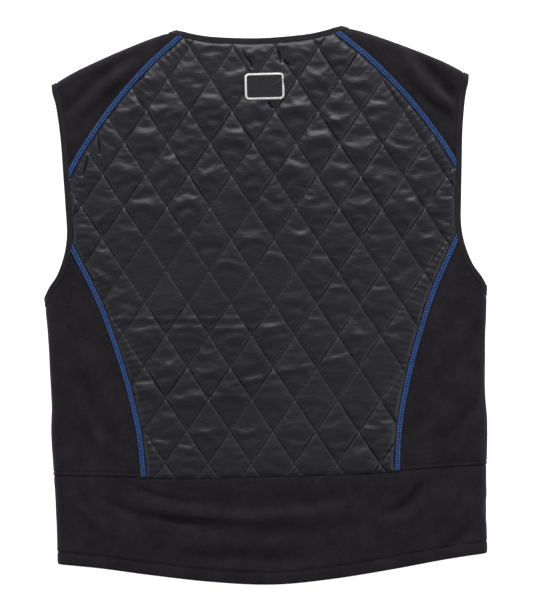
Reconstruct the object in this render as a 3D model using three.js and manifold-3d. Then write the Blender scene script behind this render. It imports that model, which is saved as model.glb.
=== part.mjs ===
// A sleeveless cooling vest that lies on its front, so its quilted back looks up.
// Sizes are in millimetres. X runs across the vest, Y from the hem to the neck and Z up from the floor.
// The origin is on the floor below the middle of the vest's length, on its centre line.

import * as THREE from 'three';
import { mergeVertices } from 'three/addons/utils/BufferGeometryUtils.js';
import Module from 'manifold-3d';

// Cloth thicknesses, and how far the trims stand above the cloth beside them.
const JERSEY_THICK = 2.0;
const HEM_THICK = 3.4;
const HEM_DEEP = 14;
const BINDING_THICK = 3.0;
const BINDING_PROUD = 0.5;
const BINDING_WIDE = 6.5;
const SEAM_THICK = 2.6;
const SEAM_PROUD = 0.6;
const SEAM_WIDE = 7.6;
const QUILT_THICK = 2.6;
const QUILT_PUFF = 2.2;
const FRONT_QUILT_THICK = 4.2;
const FRONT_STITCH_DEEP = 1.6;
const ZIP_THICK = 4.0;
const ZIP_WIDE = 16;
const GAP = 0.3;

// The rounded fold along the sides and shoulders, and how far the back bulges in the middle.
const FOLD_RADIUS = 9;
const CROWN = 8;
const CROWN_MIDDLE_Y = -10;
const CROWN_REACH = 335;
const SHOULDER_LEAN = Math.cos(THREE.MathUtils.degToRad(22.8));

// The stitched diamonds: their width and height, one crossing of the lines, and the lattice's lean.
const DIAMOND_WIDE = 50.3;
const DIAMOND_HIGH = 74.8;
const LATTICE_MIDDLE = { x: 9.1, y: 3.6 };
const LATTICE_LEAN = THREE.MathUtils.degToRad(-1.9);
const LATTICE_REACH = { left: 5.5, right: 5, down: 3, up: 4.5 };
const FINE_QUILT = 4;
const PLAIN_QUILT = 2;

// The patch below the back neck.
const PATCH = { x: 4.9, y: 256, wide: 46, high: 31, corner: 5, top: 3.8 };
const PATCH_CORNER_STEPS = 4;

// How far the grid runs below the hem, and its steps across and along the vest.
const GRID_BOTTOM = -345;
const GRID_STEP_X = 30;
const GRID_STEP_Y = 27;
const COARSE_STEPS = 2;
const ROLL_ANGLES = [0, 32, 64, 90];
const CURVE_TURN = THREE.MathUtils.degToRad(10);

// Limits of the blocks that cut the cloth, well outside it.
const BELOW_FLOOR = -5;
const TALL = 60;
const FAR = 420;
const EDGE_MARGIN = 2;
const MERGE_WITHIN = 1e-4;
const SETTLING_PASSES = 6;

// The right half of each edge and seam, from the centre line or the top outwards.
const SHOULDER_LINE = [
  { x: 0, y: 352 },
  { x: 96, y: 326.1 },
  { x: 140, y: 312.3 },
  { x: 211, y: 283.2 },
  { x: 245, y: 264.7 },
  { x: 275, y: 247 },
];
const SIDE_FOLD = [
  { y: -360, x: 251.6 },
  { y: -296, x: 252 },
  { y: -211, x: 253.3 },
  { y: -145, x: 256.2 },
  { y: -110, x: 254.6 },
  { y: -33, x: 256.8 },
  { y: 16, x: 259.6 },
  { y: 60, x: 261 },
  { y: 360, x: 262 },
];
const BACK_NECK = [
  { x: 0, y: 313.3 },
  { x: 52, y: 316.1 },
  { x: 78, y: 320.6 },
  { x: 87, y: 323.4 },
  { x: 96, y: 326.1 },
  { x: 114, y: 333 },
];
const FRONT_NECK = [
  { x: 0, y: 190 },
  { x: 30, y: 199 },
  { x: 52, y: 230 },
  { x: 62, y: 270 },
  { x: 66, y: 300 },
  { x: 78, y: 320.6 },
  { x: 87, y: 323.4 },
  { x: 96, y: 326.1 },
  { x: 114, y: 333 },
];
// Column cut tells how much deeper the front is cut than the back.
const ARMHOLE = [
  { x: 252, y: 291, cut: 0 },
  { x: 245.1, y: 264.5, cut: 0 },
  { x: 243.2, y: 254, cut: 0 },
  { x: 239.3, y: 238, cut: 0 },
  { x: 235.2, y: 201, cut: 8 },
  { x: 233.2, y: 160, cut: 14 },
  { x: 231.4, y: 120, cut: 14 },
  { x: 230.6, y: 90, cut: 8 },
  { x: 234.4, y: 66, cut: 2 },
  { x: 243, y: 43, cut: 0 },
  { x: 253, y: 28.5, cut: 0 },
  { x: 259.7, y: 17, cut: 0 },
  { x: 268, y: 2, cut: 0 },
];
const HEM = [
  { x: 0, y: -326.4, cut: 22 },
  { x: 70, y: -321.5, cut: 18 },
  { x: 140, y: -312, cut: 10 },
  { x: 195, y: -303.2, cut: 3 },
  { x: 228, y: -298.9, cut: 0 },
  { x: 244, y: -297.1, cut: 0 },
  { x: 275, y: -294, cut: 0 },
];
const WAIST = [
  { x: 0, y: -199.5 },
  { x: 102, y: -199.5 },
  { x: 180, y: -195.5 },
  { x: 275, y: -192 },
];
const RAGLAN = [
  { x: 78, y: 331 },
  { x: 92.2, y: 317.8 },
  { x: 132.4, y: 282.7 },
  { x: 172.6, y: 239 },
  { x: 203.7, y: 197.2 },
  { x: 223.4, y: 166 },
  { x: 238, y: 137 },
];
const SIDE_SEAM = [
  { x: 240, y: 104 },
  { x: 225.7, y: 74.8 },
  { x: 198.4, y: 17.4 },
  { x: 182, y: -27 },
  { x: 164.4, y: -86.3 },
  { x: 151.9, y: -148.5 },
  { x: 147.6, y: -215 },
];

// Soft folds of the cloth that looks up: the middle of each, its length and turn in degrees,
// how far its ends bend to the left of its run, its height (a dent is negative) and half width.
const FOLDS = [
  { name: 'left yoke ridge', x: -181, y: 258, long: 120, turn: 40, bend: -8, high: 3.4, wide: 11 },
  { name: 'left yoke dent', x: -199, y: 236, long: 80, turn: 44, bend: -4, high: -2.0, wide: 9 },
  { name: 'right yoke ridge', x: 181, y: 252, long: 130, turn: -43, bend: 8, high: 3.4, wide: 11 },
  { name: 'right yoke dent', x: 222, y: 252, long: 60, turn: -52, bend: 0, high: -2.2, wide: 9 },
  { name: 'waist dent', x: -12, y: -228, long: 300, turn: -2, bend: 16, high: -2.4, wide: 10 },
  { name: 'waist ridge', x: -8, y: -247, long: 330, turn: -2, bend: 22, high: 2.2, wide: 11 },
  { name: 'lower waist dent', x: -8, y: -268, long: 320, turn: -3, bend: 26, high: -2.0, wide: 11 },
  { name: 'hem dent', x: 6, y: -292, long: 190, turn: 0, bend: 6, high: -2.2, wide: 12 },
  { name: 'right waist crease', x: 166, y: -236, long: 76, turn: 58, bend: 0, high: -2.6, wide: 9 },
  { name: 'right waist ridge', x: 196, y: -246, long: 96, turn: 52, bend: 4, high: 2.2, wide: 12 },
  { name: 'left side crease', x: -212, y: -110, long: 130, turn: -62, bend: 5, high: -2.2, wide: 11 },
  { name: 'right side crease', x: 212, y: -85, long: 130, turn: 52, bend: 6, high: -2.2, wide: 11 },
  { name: 'right side ridge', x: 222, y: -128, long: 100, turn: 54, bend: 4, high: 1.8, wide: 11 },
];

const FINISHES = {
  quilt: { color: 0x2b2a2e, roughness: 0.5 },
  jersey: { color: 0x1f1d22, roughness: 0.95 },
  binding: { color: 0x1a191c, roughness: 0.85 },
  seam: { color: 0x1c3f93, roughness: 0.7 },
  zip: { color: 0x161618, roughness: 0.6 },
  patch: { color: 0x1d1c20, roughness: 0.7 },
};

const wasm = await Module();
wasm.setup();

// Reads one column of a table at a place along another, with a smooth curve through the rows.
function smoothRead(rows, along, column, place) {
  const last = rows.length - 1;
  const sign = Math.sign(rows[last][along] - rows[0][along]);
  let row = 0;
  while (row < last - 1 && (place - rows[row + 1][along]) * sign > 0) {
    row += 1;
  }
  const slope = (i) => {
    const before = rows[Math.max(i - 1, 0)];
    const after = rows[Math.min(i + 1, last)];
    return (after[column] - before[column]) / (after[along] - before[along]);
  };
  const from = rows[row];
  const to = rows[row + 1];
  const span = to[along] - from[along];
  const t = THREE.MathUtils.clamp((place - from[along]) / span, 0, 1);
  const start = from[column] * (1 + 2 * t) + slope(row) * span * t;
  const end = to[column] * (3 - 2 * t) - slope(row + 1) * span * (1 - t);
  return start * (1 - t) * (1 - t) + end * t * t;
}

// Height of the shoulder fold at a distance from the centre line.
function shoulderY(x) {
  return smoothRead(SHOULDER_LINE, 'x', 'y', Math.abs(x));
}

// Half width of the vest between its side folds.
function sideX(y) {
  return smoothRead(SIDE_FOLD, 'y', 'x', y);
}

// A quarter circle's rise, from 0 at the fold line to 1 one radius in from it.
function rise(distance, radius) {
  const left = 1 - THREE.MathUtils.clamp(distance / radius, 0, 1);
  return Math.sqrt(1 - left * left);
}

// Height of one fold of the cloth above a point, fading along the fold and across it.
function foldHeight(fold, x, y) {
  const turn = THREE.MathUtils.degToRad(fold.turn);
  const dx = x - fold.x;
  const dy = y - fold.y;
  const along = (dx * Math.cos(turn) + dy * Math.sin(turn)) / (fold.long / 2);
  const across = dy * Math.cos(turn) - dx * Math.sin(turn) - fold.bend * along * along;
  const fade = 1 - THREE.MathUtils.smoothstep(Math.abs(along), 0.35, 1);
  return fold.high * fade * Math.exp(-Math.pow(across / fold.wide, 2));
}

// How far the upper layer stands above the plain fold's height.
function bulge(x, y) {
  const acrossShare = Math.abs(x) / sideX(y);
  const alongShare = Math.abs(y - CROWN_MIDDLE_Y) / CROWN_REACH;
  const middle = Math.max(0, 1 - acrossShare * acrossShare) * Math.max(0, 1 - Math.pow(alongShare, 4));
  return CROWN * middle + FOLDS.reduce((sum, fold) => sum + foldHeight(fold, x, y), 0);
}

// Height of the outer skin that looks up.
function upperSkin(x, y) {
  const side = rise(sideX(y) - Math.abs(x), FOLD_RADIUS);
  const shoulder = rise((shoulderY(x) - y) * SHOULDER_LEAN, FOLD_RADIUS);
  return FOLD_RADIUS + side * shoulder * (FOLD_RADIUS + bulge(x, y));
}

// Turns a three.js geometry into a solid that can be cut and joined.
function toSolid(geometry) {
  const bare = geometry.clone();
  bare.deleteAttribute('normal');
  bare.deleteAttribute('uv');
  const merged = mergeVertices(bare, MERGE_WITHIN);
  return new wasm.Manifold(new wasm.Mesh({
    numProp: 3,
    vertProperties: new Float32Array(merged.attributes.position.array),
    triVerts: new Uint32Array(merged.index.array),
  }));
}

// Turns a solid back into a named mesh with its own material.
function toMesh(name, solid, finish) {
  const mesh = solid.getMesh();
  const geometry = new THREE.BufferGeometry();
  geometry.setAttribute('position', new THREE.BufferAttribute(new Float32Array(mesh.vertProperties), 3));
  geometry.setIndex(new THREE.BufferAttribute(new Uint32Array(mesh.triVerts), 1));
  geometry.computeVertexNormals();
  const material = new THREE.MeshStandardMaterial({ ...finish, metalness: 0 });
  const named = new THREE.Mesh(geometry, material);
  named.name = name;
  return named;
}

// Grid lines from a fold line inwards: close together in its roll, then even.
function rollLines(radius) {
  return ROLL_ANGLES.map((angle) => radius * (1 - Math.cos(THREE.MathUtils.degToRad(angle))));
}

// Distances of the grid's columns from the left side fold, as shares from -1 to 1.
function columnShares(radius, coarseness) {
  const half = sideX(0) + radius - FOLD_RADIUS;
  const roll = rollLines(radius).map((inset) => 1 - inset / half);
  const flat = roll[roll.length - 1];
  const steps = Math.round((2 * flat * half) / (GRID_STEP_X * coarseness));
  const middle = [];
  for (let i = 1; i < steps; i += 1) {
    middle.push(flat - (2 * flat * i) / steps);
  }
  const left = roll.map((share) => -share).reverse();
  return [...roll, ...middle, ...left].reverse();
}

// The solid bounded by one skin of the folded vest. It is filled from its upper to its lower skin,
// closed along the side folds and shoulders, and ends in a wall below the hem.
// Out, up and down tell how far the skin lies outside the cloth's outer face in each direction.
function pillow({ out, up, down, bottom = GRID_BOTTOM, coarseness = 1 }) {
  const radius = FOLD_RADIUS + out;
  const shares = columnShares(radius, coarseness);
  const rolls = rollLines(radius).map((inset) => inset / SHOULDER_LEAN);
  const rows = Math.round((SHOULDER_LINE[1].y - bottom) / (GRID_STEP_Y * coarseness));
  const positions = [];
  const index = new Map();
  const rowCount = rows + rolls.length;
  // A grid point depends on the fold lines beside and above it, which depend on its place in turn.
  const place = (share, row) => {
    let x = share * (sideX(0) + out);
    let y = bottom;
    for (let pass = 0; pass < SETTLING_PASSES; pass += 1) {
      const top = shoulderY(x) + out / SHOULDER_LEAN;
      const flatTop = top - rolls[rolls.length - 1];
      y = row <= rows ? bottom + ((flatTop - bottom) * row) / rows : top - rolls[rowCount - 1 - row];
      x = share * (sideX(y) + out);
    }
    return { x, y };
  };
  const addPoint = (key, x, y, z) => {
    index.set(key, positions.length / 3);
    positions.push(x, y, z);
  };
  shares.forEach((share, column) => {
    for (let row = 0; row < rowCount; row += 1) {
      const { x, y } = place(share, row);
      const half = sideX(y) + out;
      const top = shoulderY(x) + out / SHOULDER_LEAN;
      const lift = rise(half - Math.abs(x), radius) * rise((top - y) * SHOULDER_LEAN, radius);
      const onRim = column === 0 || column === shares.length - 1 || row === rowCount - 1;
      if (onRim) {
        addPoint(`up ${column} ${row}`, x, y, FOLD_RADIUS);
        index.set(`low ${column} ${row}`, index.get(`up ${column} ${row}`));
      } else {
        addPoint(`up ${column} ${row}`, x, y, FOLD_RADIUS + lift * (FOLD_RADIUS + up + bulge(x, y)));
        addPoint(`low ${column} ${row}`, x, y, FOLD_RADIUS - lift * (FOLD_RADIUS + down));
      }
    }
  });
  const triangles = [];
  const addQuad = (a, b, c, d) => {
    for (const [p, q, r] of [[a, b, c], [a, c, d]]) {
      const corners = [index.get(p), index.get(q), index.get(r)];
      if (new Set(corners).size === 3) {
        triangles.push(...corners);
      }
    }
  };
  for (let column = 0; column < shares.length - 1; column += 1) {
    const next = column + 1;
    for (let row = 0; row < rowCount - 1; row += 1) {
      const above = row + 1;
      const near = [`${column} ${row}`, `${next} ${row}`];
      const far = [`${column} ${above}`, `${next} ${above}`];
      addQuad(`up ${near[0]}`, `up ${near[1]}`, `up ${far[1]}`, `up ${far[0]}`);
      addQuad(`low ${near[0]}`, `low ${far[0]}`, `low ${far[1]}`, `low ${near[1]}`);
    }
    addQuad(`up ${column} 0`, `low ${column} 0`, `low ${next} 0`, `up ${next} 0`);
  }
  const geometry = new THREE.BufferGeometry();
  geometry.setAttribute('position', new THREE.Float32BufferAttribute(positions, 3));
  geometry.setIndex(triangles);
  return toSolid(geometry);
}

// One thickness of cloth all round the folded vest.
function shell(thick, proud) {
  const outer = pillow({ out: proud, up: proud, down: 0 });
  const inside = proud - thick;
  const inner = pillow({ out: inside, up: inside, down: -thick, bottom: GRID_BOTTOM - GRID_STEP_Y });
  return outer.subtract(inner);
}

// An upright block over an outline, between two heights.
function prism(points, low, high) {
  const shape = new THREE.Shape(points.map((point) => new THREE.Vector2(point.x, point.y)));
  const geometry = new THREE.ExtrudeGeometry(shape, { depth: high - low, bevelEnabled: false });
  geometry.translate(0, 0, low);
  return toSolid(geometry);
}

// Points along a smooth curve through a table's rows, with more steps where a span turns more.
// Two curves with the same rows also share their points.
function curvePoints(rows) {
  const corners = rows.map((row) => new THREE.Vector2(row.x, row.y));
  const spline = new THREE.SplineCurve(corners);
  const spans = corners.length - 1;
  const points = [corners[0]];
  for (let span = 0; span < spans; span += 1) {
    const runs = [0.05, 0.5, 0.95].map((share) => spline.getTangent((span + share) / spans));
    const turn = runs[0].angleTo(runs[1]) + runs[1].angleTo(runs[2]);
    const steps = Math.max(1, Math.round(turn / CURVE_TURN));
    for (let step = 1; step <= steps; step += 1) {
      points.push(spline.getPoint((span + step / steps) / spans));
    }
  }
  return points;
}

// The same points on the left half of the vest, in the opposite order.
function mirrored(points) {
  return points.map((point) => new THREE.Vector2(-point.x, point.y)).reverse();
}

// A curve over both halves, from a table that starts on the centre line.
function wholeCurve(rows) {
  return curvePoints([...mirrored(rows.slice(1)), ...rows]);
}

// Points moved sideways, to the left of the run of the curve where the shift is positive.
function shifted(points, shift) {
  return points.map((point, i) => {
    const before = points[Math.max(i - 1, 0)];
    const after = points[Math.min(i + 1, points.length - 1)];
    const run = new THREE.Vector2().subVectors(after, before).normalize();
    return new THREE.Vector2(point.x - run.y * shift, point.y + run.x * shift);
  });
}

// The outline of a strip between two sideways shifts of a curve.
function strip(points, from, to) {
  return [...shifted(points, from), ...shifted(points, to).reverse()];
}

// A table's rows moved by the front's cut, in the given direction.
function frontRows(rows, towards) {
  return rows.map((row) => ({ x: row.x + towards.x * row.cut, y: row.y + towards.y * row.cut }));
}

// A quilted layer: a slab whose skin follows the diamonds, with even steps across each diamond.
// It runs from its skin to the height of the fold line, and the hollow is cut from it afterwards.
function quiltSlab(skinHeight, steps, looksUp) {
  const [left, right, down, up] = ['left', 'right', 'down', 'up'].map((way) => LATTICE_REACH[way] * steps);
  // Share of the full puff, from 0 on a line of stitches to 1 in the middle of a diamond.
  const arch = (count) => Math.abs(Math.sin((Math.PI * count) / steps));
  const puffShare = (i, j) => Math.sqrt(arch(i + j) * arch(i - j));
  const wide = left + right + 1;
  const high = down + up + 1;
  const across = new THREE.Vector2(DIAMOND_WIDE / steps, 0).rotateAround(new THREE.Vector2(), LATTICE_LEAN);
  const along = new THREE.Vector2(0, DIAMOND_HIGH / steps).rotateAround(new THREE.Vector2(), LATTICE_LEAN);
  const skin = [];
  const flat = [];
  for (let j = -down; j <= up; j += 1) {
    for (let i = -left; i <= right; i += 1) {
      const x = LATTICE_MIDDLE.x + across.x * i + along.x * j;
      const y = LATTICE_MIDDLE.y + across.y * i + along.y * j;
      skin.push(x, y, skinHeight(x, y, puffShare(i, j)));
      flat.push(x, y, FOLD_RADIUS);
    }
  }
  const at = (i, j, layer) => layer * wide * high + (j + down) * wide + (i + left);
  const triangles = [];
  const addTriangle = (a, b, c) => triangles.push(...(looksUp ? [a, b, c] : [a, c, b]));
  const addWall = (from, to) => {
    const [a, b, c, d] = [at(...from, 0), at(...from, 1), at(...to, 1), at(...to, 0)];
    addTriangle(a, b, c);
    addTriangle(a, c, d);
  };
  for (let j = -down; j < up; j += 1) {
    for (let i = -left; i < right; i += 1) {
      const onRisingStitch = (i - j) % steps === 0;
      const cell = [[i, j], [i + 1, j], [i + 1, j + 1], [i, j + 1]];
      const halves = onRisingStitch ? [[0, 1, 2], [0, 2, 3]] : [[0, 1, 3], [1, 2, 3]];
      for (const [p, q, r] of halves) {
        addTriangle(at(...cell[p], 0), at(...cell[q], 0), at(...cell[r], 0));
        addTriangle(at(...cell[p], 1), at(...cell[r], 1), at(...cell[q], 1));
      }
    }
  }
  for (let i = -left; i < right; i += 1) {
    addWall([i, -down], [i + 1, -down]);
    addWall([i + 1, up], [i, up]);
  }
  for (let j = -down; j < up; j += 1) {
    addWall([right, j], [right, j + 1]);
    addWall([-left, j + 1], [-left, j]);
  }
  const geometry = new THREE.BufferGeometry();
  geometry.setAttribute('position', new THREE.Float32BufferAttribute([...skin, ...flat], 3));
  geometry.setIndex(triangles);
  return toSolid(geometry);
}

// The back looks up and the front lies on the floor, and each has its own edges.
const LAYERS = {
  back: {
    neck: wholeCurve(BACK_NECK),
    armhole: curvePoints(ARMHOLE),
    hem: wholeCurve(HEM),
    low: FOLD_RADIUS,
    high: TALL,
  },
  front: {
    neck: wholeCurve(FRONT_NECK),
    armhole: curvePoints(frontRows(ARMHOLE, { x: -1, y: 0 })),
    hem: wholeCurve(frontRows(HEM, { x: 0, y: 1 })),
    low: BELOW_FLOOR,
    high: FOLD_RADIUS,
  },
};
const RAGLAN_LINE = curvePoints(RAGLAN);
const SIDE_LINE = curvePoints(SIDE_SEAM);
const WAIST_LINE = wholeCurve(WAIST);

// The ground that a layer covers, inside its hem, armholes and neck.
function layerGround(layer) {
  const rightArmhole = [...layer.armhole].reverse();
  const leftArmhole = mirrored(rightArmhole);
  const neck = [...layer.neck].reverse();
  return prism([...layer.hem, ...rightArmhole, ...neck, ...leftArmhole], layer.low, layer.high);
}

// The strip along an edge of both layers, from just outside it to the given width inside.
// The cloth lies to the left of the hem's run and to the right of the other edges' runs.
function edgeStrip(edge, width, place = (points) => points) {
  const inwards = edge === 'hem' ? 1 : -1;
  const solids = Object.values(LAYERS).map((layer) => {
    const outline = strip(layer[edge], -inwards * EDGE_MARGIN, inwards * width);
    return prism(place(outline), layer.low, layer.high);
  });
  return solids[0].add(solids[1]);
}

// The strip of a seam, widened on each side by a clearance.
function seamStrip(points, clearance) {
  const half = SEAM_WIDE / 2 + clearance;
  return prism(strip(points, -half, half), BELOW_FLOOR, TALL);
}

// The block over a rectangle of ground.
function block(left, right, low, high) {
  const corners = [{ x: left, y: -FAR }, { x: right, y: -FAR }, { x: right, y: FAR }, { x: left, y: FAR }];
  return prism(corners, low, high);
}

// The ground below the waist seam, widened upwards by a clearance.
function belowWaist(clearance) {
  return prism([...shifted(WAIST_LINE, clearance), { x: FAR, y: -FAR }, { x: -FAR, y: -FAR }],
    BELOW_FLOOR, TALL);
}

const upperHalf = block(-FAR, FAR, FOLD_RADIUS, TALL);
const lowerHalf = block(-FAR, FAR, BELOW_FLOOR, FOLD_RADIUS);
const zipStrip = block(-ZIP_WIDE / 2, ZIP_WIDE / 2, BELOW_FLOOR, FOLD_RADIUS);
const zipRoom = block(-ZIP_WIDE / 2 - GAP, ZIP_WIDE / 2 + GAP, BELOW_FLOOR, FOLD_RADIUS);
const ground = layerGround(LAYERS.back).add(layerGround(LAYERS.front));
const clothGround = ground
  .subtract(edgeStrip('neck', BINDING_WIDE + GAP))
  .subtract(edgeStrip('armhole', BINDING_WIDE + GAP))
  .subtract(edgeStrip('armhole', BINDING_WIDE + GAP, mirrored));
const waistRoom = belowWaist(GAP);
const bodyGround = clothGround.subtract(waistRoom);

const jersey = shell(JERSEY_THICK, 0);
const binding = shell(BINDING_THICK, BINDING_PROUD).intersect(ground);
const seamTape = shell(SEAM_THICK, SEAM_PROUD).intersect(bodyGround);

const vest = new THREE.Group();
const add = (name, solid, finish) => vest.add(toMesh(name, solid, finish));
let panelGround = bodyGround;

for (const side of ['left', 'right']) {
  const place = side === 'left' ? mirrored : (points) => points;
  const raglanEnd = RAGLAN_LINE[RAGLAN_LINE.length - 1];
  const sideEnd = SIDE_LINE[SIDE_LINE.length - 1];
  const yokeCorners = [{ x: FAR, y: raglanEnd.y }, { x: FAR, y: FAR }, { x: RAGLAN_LINE[0].x, y: FAR }];
  const sideCorners = [{ x: FAR, y: sideEnd.y }, { x: FAR, y: SIDE_LINE[0].y }];
  const yokeZone = prism(place([...RAGLAN_LINE, ...yokeCorners]), BELOW_FLOOR, TALL);
  const sideZone = prism(place([...SIDE_LINE, ...sideCorners]), BELOW_FLOOR, TALL);
  const raglanRoom = seamStrip(place(RAGLAN_LINE), GAP);
  const sideRoom = seamStrip(place(SIDE_LINE), GAP);
  const yoke = jersey.intersect(bodyGround).intersect(yokeZone).subtract(raglanRoom);
  const sidePanel = jersey.intersect(bodyGround).intersect(sideZone).subtract(sideRoom);
  const raglanSeam = seamTape.intersect(seamStrip(place(RAGLAN_LINE), 0));
  const sideSeam = seamTape.intersect(seamStrip(place(SIDE_LINE), 0));
  const armholeBinding = binding.intersect(edgeStrip('armhole', BINDING_WIDE, place));
  add(`yoke_${side}`, yoke, FINISHES.jersey);
  add(`side_panel_${side}`, sidePanel, FINISHES.jersey);
  add(`armhole_binding_${side}`, armholeBinding, FINISHES.binding);
  add(`raglan_seam_${side}`, raglanSeam.intersect(upperHalf), FINISHES.seam);
  add(`front_raglan_seam_${side}`, raglanSeam.intersect(lowerHalf), FINISHES.seam);
  add(`side_seam_${side}`, sideSeam.intersect(upperHalf), FINISHES.seam);
  add(`front_side_seam_${side}`, sideSeam.intersect(lowerHalf), FINISHES.seam);
  panelGround = panelGround.subtract(yokeZone).subtract(sideZone).subtract(raglanRoom).subtract(sideRoom);
}

// The hem's turn thickens the band's edge on the inside.
const hemTurn = shell(HEM_THICK, 0).intersect(edgeStrip('hem', HEM_DEEP));
const band = jersey.add(hemTurn).intersect(clothGround).intersect(belowWaist(0)).subtract(zipRoom);
add('waistband', band, FINISHES.jersey);
add('neck_binding', binding.intersect(edgeStrip('neck', BINDING_WIDE)).subtract(zipRoom), FINISHES.binding);

// The back panel's puffs stand up, and the front's are pressed flat by the floor.
const backHollow = pillow({ out: -QUILT_THICK, up: -QUILT_THICK, down: 0, coarseness: COARSE_STEPS });
const backSkin = (x, y, share) => upperSkin(x, y) + QUILT_PUFF * share;
const backQuilt = quiltSlab(backSkin, FINE_QUILT, true).subtract(backHollow);
add('back_panel', backQuilt.intersect(panelGround).intersect(upperHalf), FINISHES.quilt);

const frontHollow = pillow({ out: -QUILT_THICK, up: 0, down: -FRONT_QUILT_THICK, coarseness: COARSE_STEPS });
const frontSkin = (x, y, share) => FRONT_STITCH_DEEP * (1 - share);
const frontQuilt = quiltSlab(frontSkin, PLAIN_QUILT, false).subtract(frontHollow);
const frontCloth = frontQuilt.intersect(panelGround).intersect(lowerHalf).subtract(zipRoom);
add('front_panel_left', frontCloth.intersect(block(-FAR, 0, BELOW_FLOOR, TALL)), FINISHES.quilt);
add('front_panel_right', frontCloth.intersect(block(0, FAR, BELOW_FLOOR, TALL)), FINISHES.quilt);
add('front_zip', shell(ZIP_THICK, 0).intersect(ground).intersect(zipStrip), FINISHES.zip);

// The outline of a rectangle with round corners.
function roundedOutline({ x, y, wide, high, corner }) {
  const [left, right, low, top] = [x - wide / 2, x + wide / 2, y - high / 2, y + high / 2];
  const shape = new THREE.Shape();
  shape.moveTo(left + corner, low);
  shape.lineTo(right - corner, low);
  shape.absarc(right - corner, low + corner, corner, -Math.PI / 2, 0);
  shape.absarc(right - corner, top - corner, corner, 0, Math.PI / 2);
  shape.absarc(left + corner, top - corner, corner, Math.PI / 2, Math.PI);
  shape.absarc(left + corner, low + corner, corner, Math.PI, Math.PI * 1.5);
  return shape.getPoints(PATCH_CORNER_STEPS);
}

// The patch follows the quilt below it and has a smooth face.
const patchTop = pillow({ out: 0, up: PATCH.top, down: 0 }).intersect(upperHalf);
const quiltRoom = quiltSlab((x, y, share) => backSkin(x, y, share) + GAP, FINE_QUILT, true);
const patchBlock = prism(roundedOutline(PATCH), BELOW_FLOOR, TALL);
add('patch', patchTop.intersect(patchBlock).subtract(quiltRoom), FINISHES.patch);

export default vest;
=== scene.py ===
"""A quilted cooling vest that lies on its front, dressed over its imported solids.

Lengths are in millimetres until a mesh is made, X runs across the vest, Y from the hem to the neck
and Z up. A chart is the flat pattern of a layer that wraps round a fold.
"""

import logging
import math
from abc import ABC, abstractmethod
from collections.abc import Callable, Sequence
from dataclasses import dataclass, field
from enum import Enum

import bpy
import numpy as np
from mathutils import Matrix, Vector
from mathutils.geometry import delaunay_2d_cdt


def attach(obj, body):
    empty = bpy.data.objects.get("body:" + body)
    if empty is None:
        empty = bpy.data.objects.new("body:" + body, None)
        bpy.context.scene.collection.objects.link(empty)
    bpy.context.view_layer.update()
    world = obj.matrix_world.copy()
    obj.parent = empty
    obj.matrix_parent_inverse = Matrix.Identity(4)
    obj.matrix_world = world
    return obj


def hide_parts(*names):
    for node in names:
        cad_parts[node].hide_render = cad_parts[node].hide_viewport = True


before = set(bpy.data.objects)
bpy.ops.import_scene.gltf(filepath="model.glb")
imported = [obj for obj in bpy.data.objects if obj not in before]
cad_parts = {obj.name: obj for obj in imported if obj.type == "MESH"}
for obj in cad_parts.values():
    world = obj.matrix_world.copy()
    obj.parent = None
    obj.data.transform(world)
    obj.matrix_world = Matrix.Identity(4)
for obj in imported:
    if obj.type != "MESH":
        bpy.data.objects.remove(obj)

LOG = logging.getLogger("vest")
MM = 0.001
BODY = "root"


class Layer(Enum):
    """Which layer of the folded vest a thing is on, by the side of the fold that it lies on."""

    BACK = 1.0
    FRONT = -1.0


class Side(Enum):
    """The wearer's sides, by the sign of X."""

    LEFT = -1.0
    RIGHT = 1.0

    @property
    def word(self) -> str:
        """The side's name, as in the names of pieces."""
        return self.name.lower()


@dataclass(frozen=True)
class Table:
    """Rows of numbers under named columns.

    Attributes:
        columns: the columns' names.
        rows: the numbers, a row for each section.
    """

    columns: tuple[str, ...]
    rows: tuple[tuple[float, ...], ...]

    def column(self, name: str) -> np.ndarray:
        """One column's numbers."""
        return np.array([row[self.columns.index(name)] for row in self.rows], dtype=float)

    def read(self, name: str, along: str, place: np.ndarray) -> np.ndarray:
        """Reads a column along another, with a smooth curve through the rows.

        Args:
            name: the column that is read.
            along: the column that rises from row to row.
            place: where to read.

        Returns:
            The values at those places.
        """
        knots, values = self.column(along), self.column(name)
        last = len(knots) - 1
        after = np.minimum(np.arange(last + 1) + 1, last)
        before = np.maximum(np.arange(last + 1) - 1, 0)
        slope = (values[after] - values[before]) / (knots[after] - knots[before])
        row = np.clip(np.searchsorted(knots, place) - 1, 0, last - 1)
        span = knots[row + 1] - knots[row]
        t = np.clip((place - knots[row]) / span, 0, 1)
        start = values[row] * (1 + 2 * t) + slope[row] * span * t
        end = values[row + 1] * (3 - 2 * t) - slope[row + 1] * span * (1 - t)
        return start * (1 - t) ** 2 + end * t**2

    def points(self, towards: tuple[float, float] = (0.0, 0.0)) -> np.ndarray:
        """The rows' points in plan, each moved by its cut.

        Args:
            towards: the direction of the front's cut, or none for the back.

        Returns:
            An array of x and y.
        """
        found = np.stack([self.column("x"), self.column("y")], -1)
        if any(towards):
            found = found + self.column("cut")[:, None] * np.array(towards)
        return found


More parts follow.
